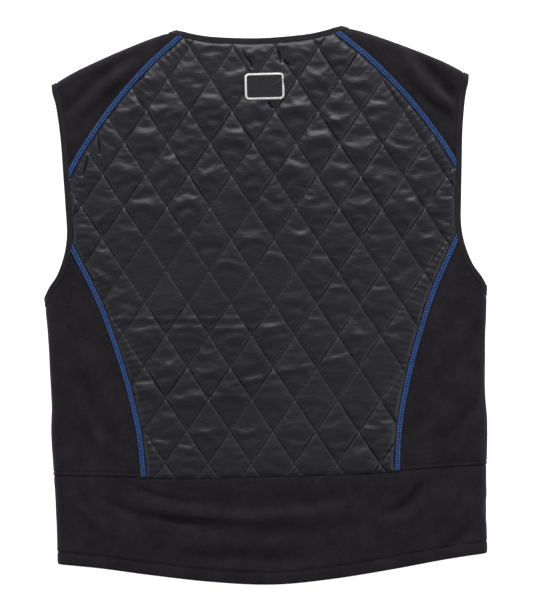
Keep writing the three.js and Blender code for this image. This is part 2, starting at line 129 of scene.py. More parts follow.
SHOULDER_LINE = Table(
    ("x", "y"),
    ((0, 352), (96, 326.1), (140, 312.3), (211, 283.2), (245, 264.7), (275, 247)),
)
SIDE_FOLD = Table(
    ("y", "x"),
    (
        (-360, 251.6),
        (-296, 252),
        (-211, 253.3),
        (-145, 256.2),
        (-110, 254.6),
        (-33, 256.8),
        (16, 259.6),
        (60, 261),
        (360, 262),
    ),
)
BACK_NECK = Table(
    ("x", "y"), ((0, 313.3), (52, 316.1), (78, 320.6), (87, 323.4), (96, 326.1), (114, 333))
)
FRONT_NECK = Table(
    ("x", "y"),
    (
        (0, 190),
        (30, 199),
        (52, 230),
        (62, 270),
        (66, 300),
        (78, 320.6),
        (87, 323.4),
        (96, 326.1),
        (114, 333),
    ),
)
ARMHOLE = Table(
    ("x", "y", "cut"),
    (
        (252, 291, 0),
        (245.1, 264.5, 0),
        (243.2, 254, 0),
        (239.3, 238, 0),
        (235.2, 201, 8),
        (233.2, 160, 14),
        (231.4, 120, 14),
        (230.6, 90, 8),
        (234.4, 66, 2),
        (243, 43, 0),
        (253, 28.5, 0),
        (259.7, 17, 0),
        (268, 2, 0),
    ),
)
HEM = Table(
    ("x", "y", "cut"),
    (
        (0, -326.4, 22),
        (70, -321.5, 18),
        (140, -312, 10),
        (195, -303.2, 3),
        (228, -298.9, 0),
        (244, -297.1, 0),
        (275, -294, 0),
    ),
)
WAIST = Table(("x", "y"), ((0, -199.5), (102, -199.5), (180, -195.5), (275, -192)))
RAGLAN = Table(
    ("x", "y"),
    ((78, 331), (92.2, 317.8), (132.4, 282.7), (172.6, 239), (203.7, 197.2), (223.4, 166), (238, 137)),
)
SIDE_SEAM = Table(
    ("x", "y"),
    (
        (240, 104),
        (225.7, 74.8),
        (198.4, 17.4),
        (182, -27),
        (164.4, -86.3),
        (151.9, -148.5),
        (147.6, -215),
    ),
)


@dataclass(frozen=True)
class Fold:
    """A soft fold or crease of the cloth that looks up.

    Attributes:
        name: where it is.
        x: its middle across the vest.
        y: its middle along the vest.
        long: its length.
        turn: its turn in degrees from the X axis.
        bend: how far its ends bend to the left of its run.
        high: its height, negative for a dent.
        wide: its half width.
    """

    name: str
    x: float
    y: float
    long: float
    turn: float
    bend: float
    high: float
    wide: float

    def height(self, x: np.ndarray, y: np.ndarray, tail: float = 1.0) -> np.ndarray:
        """How high it stands at some points, fading along it and across it.

        Args:
            x: the points' x.
            y: the points' y.
            tail: how many times as wide its slope to the right of its run is.

        Returns:
            The heights.
        """
        turn = math.radians(self.turn)
        dx, dy = x - self.x, y - self.y
        along = (dx * math.cos(turn) + dy * math.sin(turn)) / (self.long / 2)
        across = dy * math.cos(turn) - dx * math.sin(turn) - self.bend * along * along
        fade = 1 - smoothstep(0.35, 1.0, np.abs(along))
        wide = np.where(across > 0, self.wide, self.wide * tail)
        return self.high * fade * np.exp(-((across / wide) ** 2))

    def run(self, aside: float) -> np.ndarray:
        """The points along it in plan, some way to the left of its middle."""
        turn = math.radians(self.turn)
        along = np.linspace(-1, 1, 2 + round(self.long / 2))
        u, v = along * self.long / 2, self.bend * along * along + aside
        x = self.x + u * math.cos(turn) - v * math.sin(turn)
        return np.stack([x, self.y + u * math.sin(turn) + v * math.cos(turn)], -1)


FOLDS = (
    Fold("left yoke ridge", -181, 258, 120, 40, -8, 3.4, 11),
    Fold("left yoke dent", -199, 236, 80, 44, -4, -2.0, 9),
    Fold("right yoke ridge", 181, 252, 130, -43, 8, 3.4, 11),
    Fold("right yoke dent", 222, 252, 60, -52, 0, -2.2, 9),
    Fold("waist dent", -12, -228, 300, -2, 16, -2.4, 10),
    Fold("waist ridge", -8, -247, 330, -2, 22, 2.2, 11),
    Fold("lower waist dent", -8, -268, 320, -3, 26, -2.0, 11),
    Fold("hem dent", 6, -292, 190, 0, 6, -2.2, 12),
    Fold("right waist crease", 166, -236, 76, 58, 0, -2.6, 9),
    Fold("right waist ridge", 196, -246, 96, 52, 4, 2.2, 12),
    Fold("left side crease", -212, -110, 130, -62, 5, -2.2, 11),
    Fold("right side crease", 212, -85, 130, 52, 6, -2.2, 11),
    Fold("right side ridge", 222, -128, 100, 54, 4, 1.8, 11),
)
CREASES = (
    Fold("upper fold line", -113, -12, 241, -1, 1, 0.95, 1.8),
    Fold("lower fold line, left", -125, -23, 120, 3, -4, 1.15, 2.1),
    Fold("lower fold line, right", -25, -25, 126, 1, 3, 1.10, 1.9),
    Fold("slanting fold line", 38, -73, 276, 13, 5, 0.85, 1.8),
    Fold("bowed fold line", -97, -104, 86, 8, -8, 1.50, 4.0),
    Fold("bowed fold line, right", -43, -104, 68, -3, 1, 1.00, 2.4),
    Fold("left low gather", -128, -90, 94, 12, 13, 1.80, 5.0),
    Fold("left low gather, upper", -120, -70, 60, 24, 3, 1.50, 5.0),
    Fold("left diamond smile", -71, -76, 51, 4, 9, 1.00, 2.8),
    Fold("low smile, left", -79, -146, 41, -1, 7, 1.00, 2.4),
    Fold("low smile, right", -27, -147, 34, -1, 5, 1.00, 2.4),
    Fold("low left pleat", -128, -156, 29, -12, -1, 0.90, 2.0),
    Fold("low left pleat, right", -98, -163, 37, -17, -4, 0.90, 2.2),
    Fold("low right fold", 116, -172, 89, 25, 5, 1.80, 5.4),
    Fold("low right fold, lower", 130, -188, 75, 30, 9, 1.70, 4.8),
    Fold("low right smile", 125, -147, 58, 4, 11, 1.10, 3.0),
    Fold("low middle smile", 38, -163, 41, 6, 9, 0.90, 2.6),
    Fold("low middle smile, right", 79, -168, 41, 3, 10, 0.90, 2.6),
    Fold("top left smile", -130, 231, 49, 0, 11, 1.40, 4.6),
    Fold("top middle smile", -62, 244, 54, -3, -6, 1.40, 4.6),
    Fold("top right smile", 90, 215, 46, -4, 14, 1.50, 4.6),
    Fold("top far right crest", 136, 231, 46, -2, -10, 1.10, 3.4),
    Fold("second row crest 1", -139, 207, 48, -1, -7, 1.50, 5.0),
    Fold("second row crest 3", -33, 201, 51, -2, -7, 1.55, 5.6),
    Fold("second row crest 5", 66, 197, 58, 0, -11, 1.50, 5.2),
    Fold("second row smile 6", 112, 179, 59, 0, 16, 1.60, 5.4),
    Fold("second row smile 7", 164, 178, 61, 0, 16, 1.60, 5.4),
    Fold("third row crest 1", -170, 167, 42, -1, -10, 1.50, 5.0),
    Fold("third row crest 2", -101, 175, 39, 24, -7, 1.10, 3.2),
    Fold("third row smile 3", -65, 155, 31, 5, 15, 1.30, 4.4),
    Fold("third row crest 5", 33, 164, 48, -8, -16, 1.60, 4.8),
    Fold("third row crest 6", 81, 162, 43, 5, -13, 1.40, 4.4),
    Fold("fourth row crest 1", -144, 123, 49, -2, -10, 1.50, 4.4),
    Fold("fourth row crest 2", -88, 128, 39, -1, -15, 1.50, 4.4),
    Fold("fourth row smile 4", 8, 122, 41, 1, 9, 0.90, 2.8),
    Fold("fourth row smile 5", 58, 123, 36, 1, 6, 0.80, 2.2),
    Fold("fifth row crest 4", -15, 79, 48, 7, -8, 1.20, 2.6),
    Fold("sixth row smile 4", -42, 52, 41, -4, -6, 1.00, 2.6),
    Fold("sixth row crest 5", 10, 60, 41, -6, -12, 1.10, 2.8),
    Fold("armhole smile 1", -194, 105, 31, 11, 9, 1.10, 2.8),
    Fold("armhole smile 2", -194, 68, 42, -16, 3, 1.10, 3.4),
    Fold("right bow", 77, 19, 49, 11, -8, 1.00, 2.0),
)
DENTS = (
    Fold("left gather at the neck", -15, 290, 24, -58, 1, -2.8, 1.2),
    Fold("left gather's fork", -10, 284, 17, -76, 0, -2.6, 1.1),
    Fold("right gather at the neck", 24, 291, 24, -80, 0, -2.8, 1.2),
    Fold("right gather's fork", 32, 283, 20, -40, 0, -2.6, 1.1),
    Fold("gather under the patch", 11, 234, 16, -50, 0, -2.4, 1.1),
    Fold("upper dent by the left armhole", -190, 192, 30, -87, 1, -3.0, 1.3),
    Fold("lower dent by the left armhole", -207, 169, 32, -106, 0, -3.0, 1.2),
)
CALM = (
    (-120, 59, 44, 34),
    (-34, 112, 32, 25),
    (-60, 20, 44, 26),
    (84, -98, 40, 24),
    (143, -79, 28, 28),
    (-30, -128, 38, 18),
    (20, 30, 30, 22),
)
DRAPES = (
    Fold("left waist smile", -115, -224, 123, -12, 9, -1.5, 4.5),
    Fold("middle waist smile", 10, -236, 232, 2, 14, -1.0, 5.5),
    Fold("left second smile", -143, -245, 173, -14, 18, -1.2, 5.5),
    Fold("ridge under the smile", -68, -244, 227, -6, 11, 0.9, 6.0),
    Fold("lower ridge", -45, -278, 253, -2, 10, 0.9, 8.0),
    Fold("hem smile", -23, -298, 211, -3, 9, -1.0, 6.0),
    Fold("right waist fold", 159, -234, 89, -142, -12, -1.7, 4.5),
    Fold("right waist fold's ridge", 172, -244, 88, -143, -12, 1.6, 6.0),
    Fold("far right ridge", 220, -255, 98, -128, -1, 1.9, 7.0),
    Fold("far right dent", 235, -266, 95, -133, -6, -1.5, 6.0),
    Fold("left band fold", -219, -236, 97, -47, 5, 1.4, 7.0),
    Fold("left side ridge", -217, -122, 135, -65, 9, 1.2, 6.5),
    Fold("left side dent", -203, -118, 147, -65, 9, -1.2, 6.5),
    Fold("left side inner ridge", -189, -146, 123, -61, 10, 0.9, 6.0),
    Fold("right side upper ridge", 211, -126, 138, -132, -7, 1.2, 6.5),
    Fold("right side upper dent", 237, -60, 98, -128, -6, -1.3, 8.0),
    Fold("right side lower ridge", 234, -157, 117, -127, -3, 1.2, 6.5),
    Fold("right side lower dent", 226, -142, 127, -133, -5, -1.2, 6.5),
    Fold("left yoke crest", -181, 258, 130, 41, -9, 1.2, 7.0),
    Fold("left yoke hollow", -194, 267, 130, 41, -9, -1.7, 6.0),
    Fold("right yoke crest", 197, 249, 140, -47, 8, 1.9, 7.0),
    Fold("right yoke hollow", 208, 260, 125, -47, 8, -1.7, 6.0),
    Fold("right yoke inner hollow", 178, 246, 125, -43, 8, -1.3, 7.0),
    Fold("right yoke short dent", 220, 243, 37, -41, 2, -1.6, 5.0),
)


def smoothstep(low: float, high: float, value: np.ndarray) -> np.ndarray:
    """Rises smoothly from 0 to 1 between two values."""
    t = np.clip((value - low) / (high - low), 0, 1)
    return t * t * (3 - 2 * t)


@dataclass(frozen=True)
class Ripple:
    """Smooth random waves that are the same in each run.

    Attributes:
        wave: the size of a wave along each axis.
        seed: which waves they are.
    """

    wave: tuple[float, float]
    seed: int
    size: int = 128

    def at(self, x: np.ndarray, y: np.ndarray) -> np.ndarray:
        """The waves' height at some points, from -1 to 1."""
        grid = np.random.default_rng(self.seed).uniform(-1, 1, (self.size, self.size))
        u, v = x / self.wave[0] + 40.3, y / self.wave[1] + 51.7
        i, j = np.floor(u).astype(int), np.floor(v).astype(int)
        s, t = u - i, v - j
        s, t = s * s * (3 - 2 * s), t * t * (3 - 2 * t)
        i, j, k, m = i % self.size, j % self.size, (i + 1) % self.size, (j + 1) % self.size
        low = grid[i, j] * (1 - s) + grid[k, j] * s
        high = grid[i, m] * (1 - s) + grid[k, m] * s
        return low * (1 - t) + high * t


@dataclass(frozen=True)
class Curve:
    """A line of points in plan.

    Attributes:
        points: an array of x and y.
    """

    points: np.ndarray

    @staticmethod
    def through(corners: np.ndarray, steps: int = 8) -> "Curve":
        """A smooth curve through some points.

        Args:
            corners: the points that it passes through.
            steps: how many points it gets from each to the next.

        Returns:
            The curve.
        """
        last = len(corners) - 1
        t = np.linspace(0, 1, steps, endpoint=False)[:, None]
        spans = []
        for i in range(last):
            a, b, c, d = (corners[min(max(i + k, 0), last)] for k in (-1, 0, 1, 2))
            rise, fall = (c - a) / 2, (d - b) / 2
            cubic = 2 * b - 2 * c + rise + fall
            square = 3 * c - 3 * b - 2 * rise - fall
            spans.append(cubic * t**3 + square * t**2 + rise * t + b)
        return Curve(np.vstack([*spans, corners[-1:]]))

    @staticmethod
    def whole(corners: np.ndarray) -> "Curve":
        """A curve over both halves, from points that start on the centre line."""
        left = (corners[1:] * (-1, 1))[::-1]
        return Curve.through(np.vstack([left, corners]))

    def mirrored(self) -> "Curve":
        """The same curve on the other half, run the other way."""
        return Curve((self.points * (-1, 1))[::-1])

    def shifted(self, left: float) -> "Curve":
        """The curve moved to the left of its run."""
        run = np.gradient(self.points, axis=0)
        run /= np.linalg.norm(run, axis=1)[:, None]
        return Curve(self.points + left * np.stack([-run[:, 1], run[:, 0]], -1))

    def resampled(self, pitch: float) -> "Curve":
        """The curve with its points an even distance apart."""
        return Curve(even_steps(self.points, pitch))

    def measure(self, x: np.ndarray, y: np.ndarray) -> tuple[np.ndarray, np.ndarray]:
        """Measures points against the curve.

        Args:
            x: the points' x.
            y: the points' y.

        Returns:
            Their distances to its left, and how far along it they lie.
        """
        start, run = self.points[:-1], np.diff(self.points, axis=0)
        length = np.linalg.norm(run, axis=1)
        before = np.concatenate([[0], np.cumsum(length)[:-1]])
        away, along = np.empty(len(x)), np.empty(len(x))
        for low in range(0, len(x), 800):
            part = slice(low, low + 800)
            gap = np.stack([x[part], y[part]], -1)[:, None] - start
            share = np.clip((gap * run).sum(-1) / length**2, 0, 1)
            off = gap - share[..., None] * run
            near = np.argmin((off**2).sum(-1), axis=1)
            row = np.arange(len(near))
            side = run[near, 0] * gap[row, near, 1] - run[near, 1] * gap[row, near, 0]
            away[part] = np.copysign(np.linalg.norm(off[row, near], axis=1), side)
            along[part] = before[near] + share[row, near] * length[near]
        return away, along


def even_steps(points: np.ndarray, pitch: float) -> np.ndarray:
    """Spaces the points of a line evenly.

    Args:
        points: the line's points, in two or three dimensions.
        pitch: about how far apart they come to lie.

    Returns:
        The new points, with the same two ends.
    """
    walked = np.concatenate([[0], np.cumsum(np.linalg.norm(np.diff(points, axis=0), axis=1))])
    steps = max(2, round(walked[-1] / pitch))
    at = np.linspace(0, walked[-1], steps + 1)
    return np.stack([np.interp(at, walked, points[:, k]) for k in range(points.shape[1])], -1)


@dataclass(frozen=True)
class FoldedForm:
    """The shape of the folded vest: rolls along its sides and shoulders, and a crowned back.

    Attributes:
        radius: the radius of the rolls.
        crown: how far the back bulges in the middle.
        crown_middle: where along the vest it bulges most.
        crown_reach: how far from there the bulge ends.
        lean: the cosine of the shoulders' slope.
    """

    radius: float = 9.0
    crown: float = 8.0
    crown_middle: float = -10.0
    crown_reach: float = 335.0
    lean: float = math.cos(math.radians(22.8))

    @property
    def quarter(self) -> float:
        """The length of cloth in one quarter of a roll."""
        return self.radius * math.pi / 2

    def side_x(self, y: np.ndarray) -> np.ndarray:
        """Half the width between the side folds."""
        return SIDE_FOLD.read("x", "y", y)

    def shoulder_y(self, x: np.ndarray) -> np.ndarray:
        """Height of the shoulder fold."""
        return SHOULDER_LINE.read("y", "x", np.abs(x))

    def rise(self, inset: np.ndarray) -> np.ndarray:
        """A quarter circle's rise, from 0 at the fold line to 1 one radius in from it."""
        left = 1 - np.clip(inset / self.radius, 0, 1)
        return np.sqrt(np.clip(1 - left * left, 0, 1))

    def roll(self, arc: np.ndarray) -> tuple[np.ndarray, np.ndarray]:
        """Finds a point on a roll from its distance along the cloth.

        Args:
            arc: the distance from the fold line, negative on the layer that lies below.

        Returns:
            Its inset from the fold line, and its lift from -1, below, to 1, above.
        """
        turn = np.clip(arc / self.radius, -math.pi / 2, math.pi / 2)
        inset = self.radius * (1 - np.cos(turn)) + np.maximum(np.abs(arc) - self.quarter, 0)
        return inset, np.sin(turn)

    def unroll(self, inset: np.ndarray) -> np.ndarray:
        """The distance along the cloth from the fold line to an inset."""
        turn = np.arccos(np.clip(1 - inset / self.radius, 0, 1))
        return self.radius * turn + np.maximum(inset - self.radius, 0)

    def wrapped(self, inset: np.ndarray, points: np.ndarray) -> np.ndarray:
        """The distance along the cloth to the place nearest to points in space.

        Args:
            inset: the points' insets from the fold line.
            points: the points.

        Returns:
            The distances, negative on the layer that lies below.
        """
        above = points[:, 2] - self.radius
        share = self.radius / (self.radius + self.bulge(points[:, 0], points[:, 1]))
        above = np.where(above > 0, above * share, above)
        turn = np.arctan2(above, self.radius - inset)
        flat = np.copysign(self.quarter + inset - self.radius, above)
        return np.where(inset < self.radius, self.radius * turn, flat)

    def bulge(self, x: np.ndarray, y: np.ndarray) -> np.ndarray:
        """How far the upper layer stands above the plain fold's height."""
        across = np.abs(x) / self.side_x(y)
        along = np.abs(y - self.crown_middle) / self.crown_reach
        middle = np.maximum(0, 1 - across**2) * np.maximum(0, 1 - along**4)
        return self.crown * middle + sum(fold.height(x, y) for fold in FOLDS)

    def height(self, x: np.ndarray, y: np.ndarray, lift: np.ndarray) -> np.ndarray:
        """Height of the outer skin at a place and its lift."""
        reach = self.radius + np.where(lift > 0, self.bulge(x, y), 0)
        return self.radius + lift * reach


FORM = FoldedForm()


class Wrap(ABC):
    """A chart of the outer skin that runs on from one layer to the other round a fold."""

    step = 0.4

    @abstractmethod
    def plan(self, chart: np.ndarray) -> tuple[np.ndarray, np.ndarray, np.ndarray]:
        """The x, y and lift of places on the chart."""

    @abstractmethod
    def chart(self, x: np.ndarray, y: np.ndarray, layer: Layer) -> np.ndarray:
        """The places on the chart of points in plan on a layer."""

    @abstractmethod
    def project(self, points: np.ndarray) -> np.ndarray:
        """The places on the chart nearest to points in space."""

    def surface(self, chart: np.ndarray) -> np.ndarray:
        """The outer skin's points at places on the chart."""
        x, y, lift = self.plan(chart)
        return np.stack([x, y, FORM.height(x, y, lift)], -1)

    def normal(self, chart: np.ndarray) -> np.ndarray:
        """The directions straight out of the skin."""
        across, along = np.array([self.step, 0]), np.array([0, self.step])
        first = self.surface(chart + across) - self.surface(chart - across)
        second = self.surface(chart + along) - self.surface(chart - along)
        out = np.cross(first, second)
        return out / np.linalg.norm(out, axis=1)[:, None]

    def lifted(self, chart: np.ndarray, height: np.ndarray | float) -> np.ndarray:
        """Points at a height above the skin, negative inside the cloth."""
        return self.surface(chart) + self.normal(chart) * np.reshape(height, (-1, 1))


class SideWrap(Wrap):
    """The chart round the side folds, from the front's middle over the back to the front again.

    Its first number is the distance across from the back's middle, and its second one is y.
    """

    def half(self, y: np.ndarray) -> np.ndarray:
        """The distance across from the back's middle to the fold line."""
        return FORM.side_x(y) - FORM.radius + FORM.quarter

    def plan(self, chart: np.ndarray) -> tuple[np.ndarray, np.ndarray, np.ndarray]:
        """The x, y and lift of places on the chart."""
        across, y = chart[:, 0], chart[:, 1]
        inset, lift = FORM.roll(self.half(y) - np.abs(across))
        x = np.copysign(FORM.side_x(y) - inset, across)
        shoulder = FORM.rise((FORM.shoulder_y(x) - y) * FORM.lean)
        return x, y, lift * shoulder

    def chart(self, x: np.ndarray, y: np.ndarray, layer: Layer) -> np.ndarray:
        """The places on the chart of points in plan on a layer."""
        arc = FORM.unroll(np.maximum(FORM.side_x(y) - np.abs(x), 0))
        return np.stack([np.copysign(self.half(y) - layer.value * arc, x), y], -1)

    def project(self, points: np.ndarray) -> np.ndarray:
        """The places on the chart nearest to points in space."""
        x, y = points[:, 0], points[:, 1]
        arc = FORM.wrapped(FORM.side_x(y) - np.abs(x), points)
        return np.stack([np.copysign(self.half(y) - arc, x), y], -1)


class ShoulderWrap(Wrap):
    """The chart round the shoulder folds, whose first number is the distance down the back.

    Its second number is x.
    """

    def plan(self, chart: np.ndarray) -> tuple[np.ndarray, np.ndarray, np.ndarray]:
        """The x, y and lift of places on the chart."""
        down, x = chart[:, 0], chart[:, 1]
        inset, lift = FORM.roll(down)
        y = FORM.shoulder_y(x) - inset / FORM.lean
        side = FORM.rise(FORM.side_x(y) - np.abs(x))
        return x, y, lift * side

    def chart(self, x: np.ndarray, y: np.ndarray, layer: Layer) -> np.ndarray:
        """The places on the chart of points in plan on a layer."""
        inset = np.maximum((FORM.shoulder_y(x) - y) * FORM.lean, 0)
        return np.stack([layer.value * FORM.unroll(inset), x], -1)

    def project(self, points: np.ndarray) -> np.ndarray:
        """The places on the chart nearest to points in space."""
        x, y = points[:, 0], points[:, 1]
        inset = (FORM.shoulder_y(x) - y) * FORM.lean
        return np.stack([FORM.wrapped(inset, points), x], -1)


SIDES = SideWrap()
SHOULDERS = ShoulderWrap()
CHARTS_MEET_Y = 120.0


def by_chart(points: np.ndarray, task: Callable[[Wrap, np.ndarray], np.ndarray]) -> np.ndarray:
    """Runs a task on each point with the chart of its end of the vest.

    Args:
        points: the points in space.
        task: what is done with a chart and the numbers of its points.

    Returns:
        A row for each point.
    """
    found = np.empty((len(points), 3))
    high = points[:, 1] > CHARTS_MEET_Y
    for wrap, mask in ((SHOULDERS, high), (SIDES, ~high)):
        if mask.any():
            found[mask] = task(wrap, np.flatnonzero(mask))
    return found


def settle(points: np.ndarray, height: np.ndarray | float) -> np.ndarray:
    """Moves points onto the skin below them, then out of it by a height.

    Args:
        points: the points in space.
        height: how far out they come to lie, for each or for all.

    Returns:
        The moved points, none of them below the floor.
    """
    heights = np.broadcast_to(height, len(points))
    moved = by_chart(points, lambda wrap, at: wrap.lifted(wrap.project(points[at]), heights[at]))
    moved[:, 2] = np.maximum(moved[:, 2], 0.0)
    return moved


def outward(points: np.ndarray) -> np.ndarray:
    """The directions straight out of the skin at points near it."""
    return by_chart(points, lambda wrap, at: wrap.normal(wrap.project(points[at])))


def on_skin(plan: np.ndarray, layer: Layer) -> np.ndarray:
    """The skin's points above or below places in plan.

    Args:
        plan: the x and y of the places.
        layer: the layer that they are on.

    Returns:
        The points in space.
    """
    flat = np.column_stack([plan, np.zeros(len(plan))])

    def find(wrap: Wrap, at: np.ndarray) -> np.ndarray:
        """The points of one chart."""
        return wrap.surface(wrap.chart(plan[at, 0], plan[at, 1], layer))

    return by_chart(flat, find)


def inside_folds(plan: np.ndarray) -> np.ndarray:
    """Which places in plan lie within the side and shoulder folds."""
    x, y = plan[:, 0], plan[:, 1]
    return (np.abs(x) <= FORM.side_x(y)) & (y <= FORM.shoulder_y(x))


@dataclass(frozen=True)
class Pattern:
    """The lines along which the vest was cut and sewn, on its right half or across it.

    Attributes:
        binding_wide: how wide the bindings are.
        seam_wide: how wide the flat seams are.
        gap: the clearance between pieces.
    """

    binding_wide: float = 6.5
    seam_wide: float = 7.6
    gap: float = 0.12
    raglan: Curve = field(default_factory=lambda: Curve.through(RAGLAN.points()))
    side: Curve = field(default_factory=lambda: Curve.through(SIDE_SEAM.points()))
    waist: Curve = field(default_factory=lambda: Curve.whole(WAIST.points()))

    def neck(self, layer: Layer) -> Curve:
        """The edge of the neck opening, from left to right."""
        rows = BACK_NECK if layer is Layer.BACK else FRONT_NECK
        return Curve.whole(rows.points())

    def armhole(self, layer: Layer) -> Curve:
        """The right armhole's edge, from the shoulder down."""
        towards = (0.0, 0.0) if layer is Layer.BACK else (-1.0, 0.0)
        return Curve.through(ARMHOLE.points(towards))

    def hem(self, layer: Layer) -> Curve:
        """The hem, from left to right."""
        towards = (0.0, 0.0) if layer is Layer.BACK else (0.0, 1.0)
        return Curve.whole(HEM.points(towards))

    def room(self, plan: np.ndarray, layer: Layer) -> dict[str, np.ndarray]:
        """Measures places in plan against each line of their layer.

        Args:
            plan: the places' x and y.
            layer: the layer that they are on.

        Returns:
            The clear distance to each line by its name: inside an edge, above the waist seam, and
            on the outer side of the raglan and side seams.
        """
        x, y = np.abs(plan[:, 0]), plan[:, 1]
        return {
            "neck": -self.neck(layer).measure(x, y)[0],
            "armhole": -self.armhole(layer).measure(x, y)[0],
            "hem": self.hem(layer).measure(x, y)[0],
            "waist": self.waist.measure(x, y)[0],
            "raglan": self.raglan.measure(x, y)[0],
            "side": self.side.measure(x, y)[0],
        }

    @property
    def edge_room(self) -> float:
        """How far inside an edge the cloth begins."""
        return self.binding_wide + self.gap

    @property
    def seam_room(self) -> float:
        """How far from a seam's middle the cloth begins."""
        return self.seam_wide / 2 + self.gap

    def clear(self, room: dict[str, np.ndarray]) -> np.ndarray:
        """Which places are clear of the bindings and the flat seams."""
        edges = (room["neck"] > self.edge_room) & (room["armhole"] > self.edge_room)
        seams = (np.abs(room["raglan"]) > self.seam_room) & (np.abs(room["side"]) > self.seam_room)
        return edges & seams


PATTERN = Pattern()


@dataclass
class Patchwork:
    """Points and faces of one mesh, gathered part by part."""

    points: list[np.ndarray] = field(default_factory=list)
    faces: list[np.ndarray] = field(default_factory=list)
    count: int = 0

    def add(self, points: np.ndarray, *faces: np.ndarray) -> None:
        """Adds points and the faces that use them.

        Args:
            points: the new points.
            faces: arrays of faces, each with a row of the new points' numbers for each face.
        """
        self.points.append(points)
        self.faces.extend(group + self.count for group in faces if len(group))
        self.count += len(points)

    def build(self, name: str, material: bpy.types.Material, sharp: float = 50.0) -> bpy.types.Object:
        """Makes the Blender object.

        Args:
            name: its name.
            material: its material.
            sharp: the angle in degrees from which an edge stays sharp.

        Returns:
            The object, in the scene.
        """
        mesh = bpy.data.meshes.new(name)
        points = np.vstack(self.points) * MM
        corners = np.concatenate([group.ravel() for group in self.faces])
        sizes = np.concatenate([np.full(len(group), group.shape[1]) for group in self.faces])
        mesh.vertices.add(len(points))
        mesh.vertices.foreach_set("co", points.ravel())
        mesh.loops.add(len(corners))
        mesh.loops.foreach_set("vertex_index", corners.astype(np.int32))
        mesh.polygons.add(len(sizes))
        starts = np.concatenate([[0], np.cumsum(sizes)[:-1]]).astype(np.int32)
        mesh.polygons.foreach_set("loop_start", starts)
        mesh.polygons.foreach_set("use_smooth", np.ones(len(sizes), dtype=bool))
        mesh.update(calc_edges=True)
        mesh.validate()
        mesh.set_sharp_from_angle(angle=math.radians(sharp))
        mesh.materials.append(material)
        made = bpy.data.objects.new(name, mesh)
        bpy.context.scene.collection.objects.link(made)
        LOG.info("%s: %d faces", name, len(sizes))
        return made


def rim_of(triangles: np.ndarray) -> np.ndarray:
    """The edges of a sheet's rim, in the direction of its triangles."""
    edges = np.vstack([triangles[:, [0, 1]], triangles[:, [1, 2]], triangles[:, [2, 0]]])
    keys = np.sort(edges, axis=1)
    _, first, times = np.unique(keys, axis=0, return_index=True, return_counts=True)
    return edges[first[times == 1]]


def thick_cloth(outer: np.ndarray, inner: np.ndarray, triangles: np.ndarray) -> Patchwork:
    """A closed piece of cloth from its outer and inner skins.

    Args:
        outer: the outer skin's points.
        inner: the inner skin's points, one below each outer one.
        triangles: the outer skin's faces.

    Returns:
        The closed mesh.
    """
    count = len(outer)
    rim = rim_of(triangles)
    walls = np.column_stack([rim[:, 1], rim[:, 0], rim[:, 0] + count, rim[:, 1] + count])
    cloth = Patchwork()
    cloth.add(np.vstack([outer, inner]), triangles, triangles[:, ::-1] + count, walls)
    return cloth


def fill_chart(
    lines: Sequence[np.ndarray],
    grid: np.ndarray,
    keep: Callable[[np.ndarray], np.ndarray],
    clearance: float,
) -> tuple[np.ndarray, np.ndarray]:
    """Fills a part of a chart with triangles that follow its lines.

    Args:
        lines: the lines that triangles don't cross.
        grid: the points between them.
        keep: says which places belong to the part.
        clearance: how far from the lines a grid point is dropped.

    Returns:
        The places on the chart, and the triangles.
    """
    on_lines = np.vstack(lines)
    grid = grid[keep(grid)]
    far = np.ones(len(grid), dtype=bool)
    for low in range(0, len(on_lines), 400):
        part = on_lines[low : low + 400]
        span = np.abs(grid[:, None] - part).max(-1).min(1)
        far &= span > clearance
    grid = grid[far]
    places = [Vector(place) for place in np.vstack([on_lines, grid]).tolist()]
    edges = []
    start = 0
    for line in lines:
        edges.extend((k, k + 1) for k in range(start, start + len(line) - 1))
        start += len(line)
    found = delaunay_2d_cdt(places, edges, [], 0, 1e-4)
    chart = np.array([place[:] for place in found[0]])
    triangles = np.array(found[2], dtype=int)
    corners = chart[triangles]
    spans = corners[:, 1:] - corners[:, :1]
    area = spans[:, 0, 0] * spans[:, 1, 1] - spans[:, 0, 1] * spans[:, 1, 0]
    triangles = np.where(area[:, None] < 0, triangles[:, ::-1], triangles)
    triangles = triangles[keep(corners.mean(1)) & (np.abs(area) > 1e-4)]
    used, renumbered = np.unique(triangles, return_inverse=True)
    return chart[used], renumbered.reshape(-1, 3)


def chart_area(chart: np.ndarray, triangles: np.ndarray) -> float:
    """The area of some triangles on a chart."""
    corners = chart[triangles]
    spans = corners[:, 1:] - corners[:, :1]
    return float(np.abs(spans[:, 0, 0] * spans[:, 1, 1] - spans[:, 0, 1] * spans[:, 1, 0]).sum() / 2)


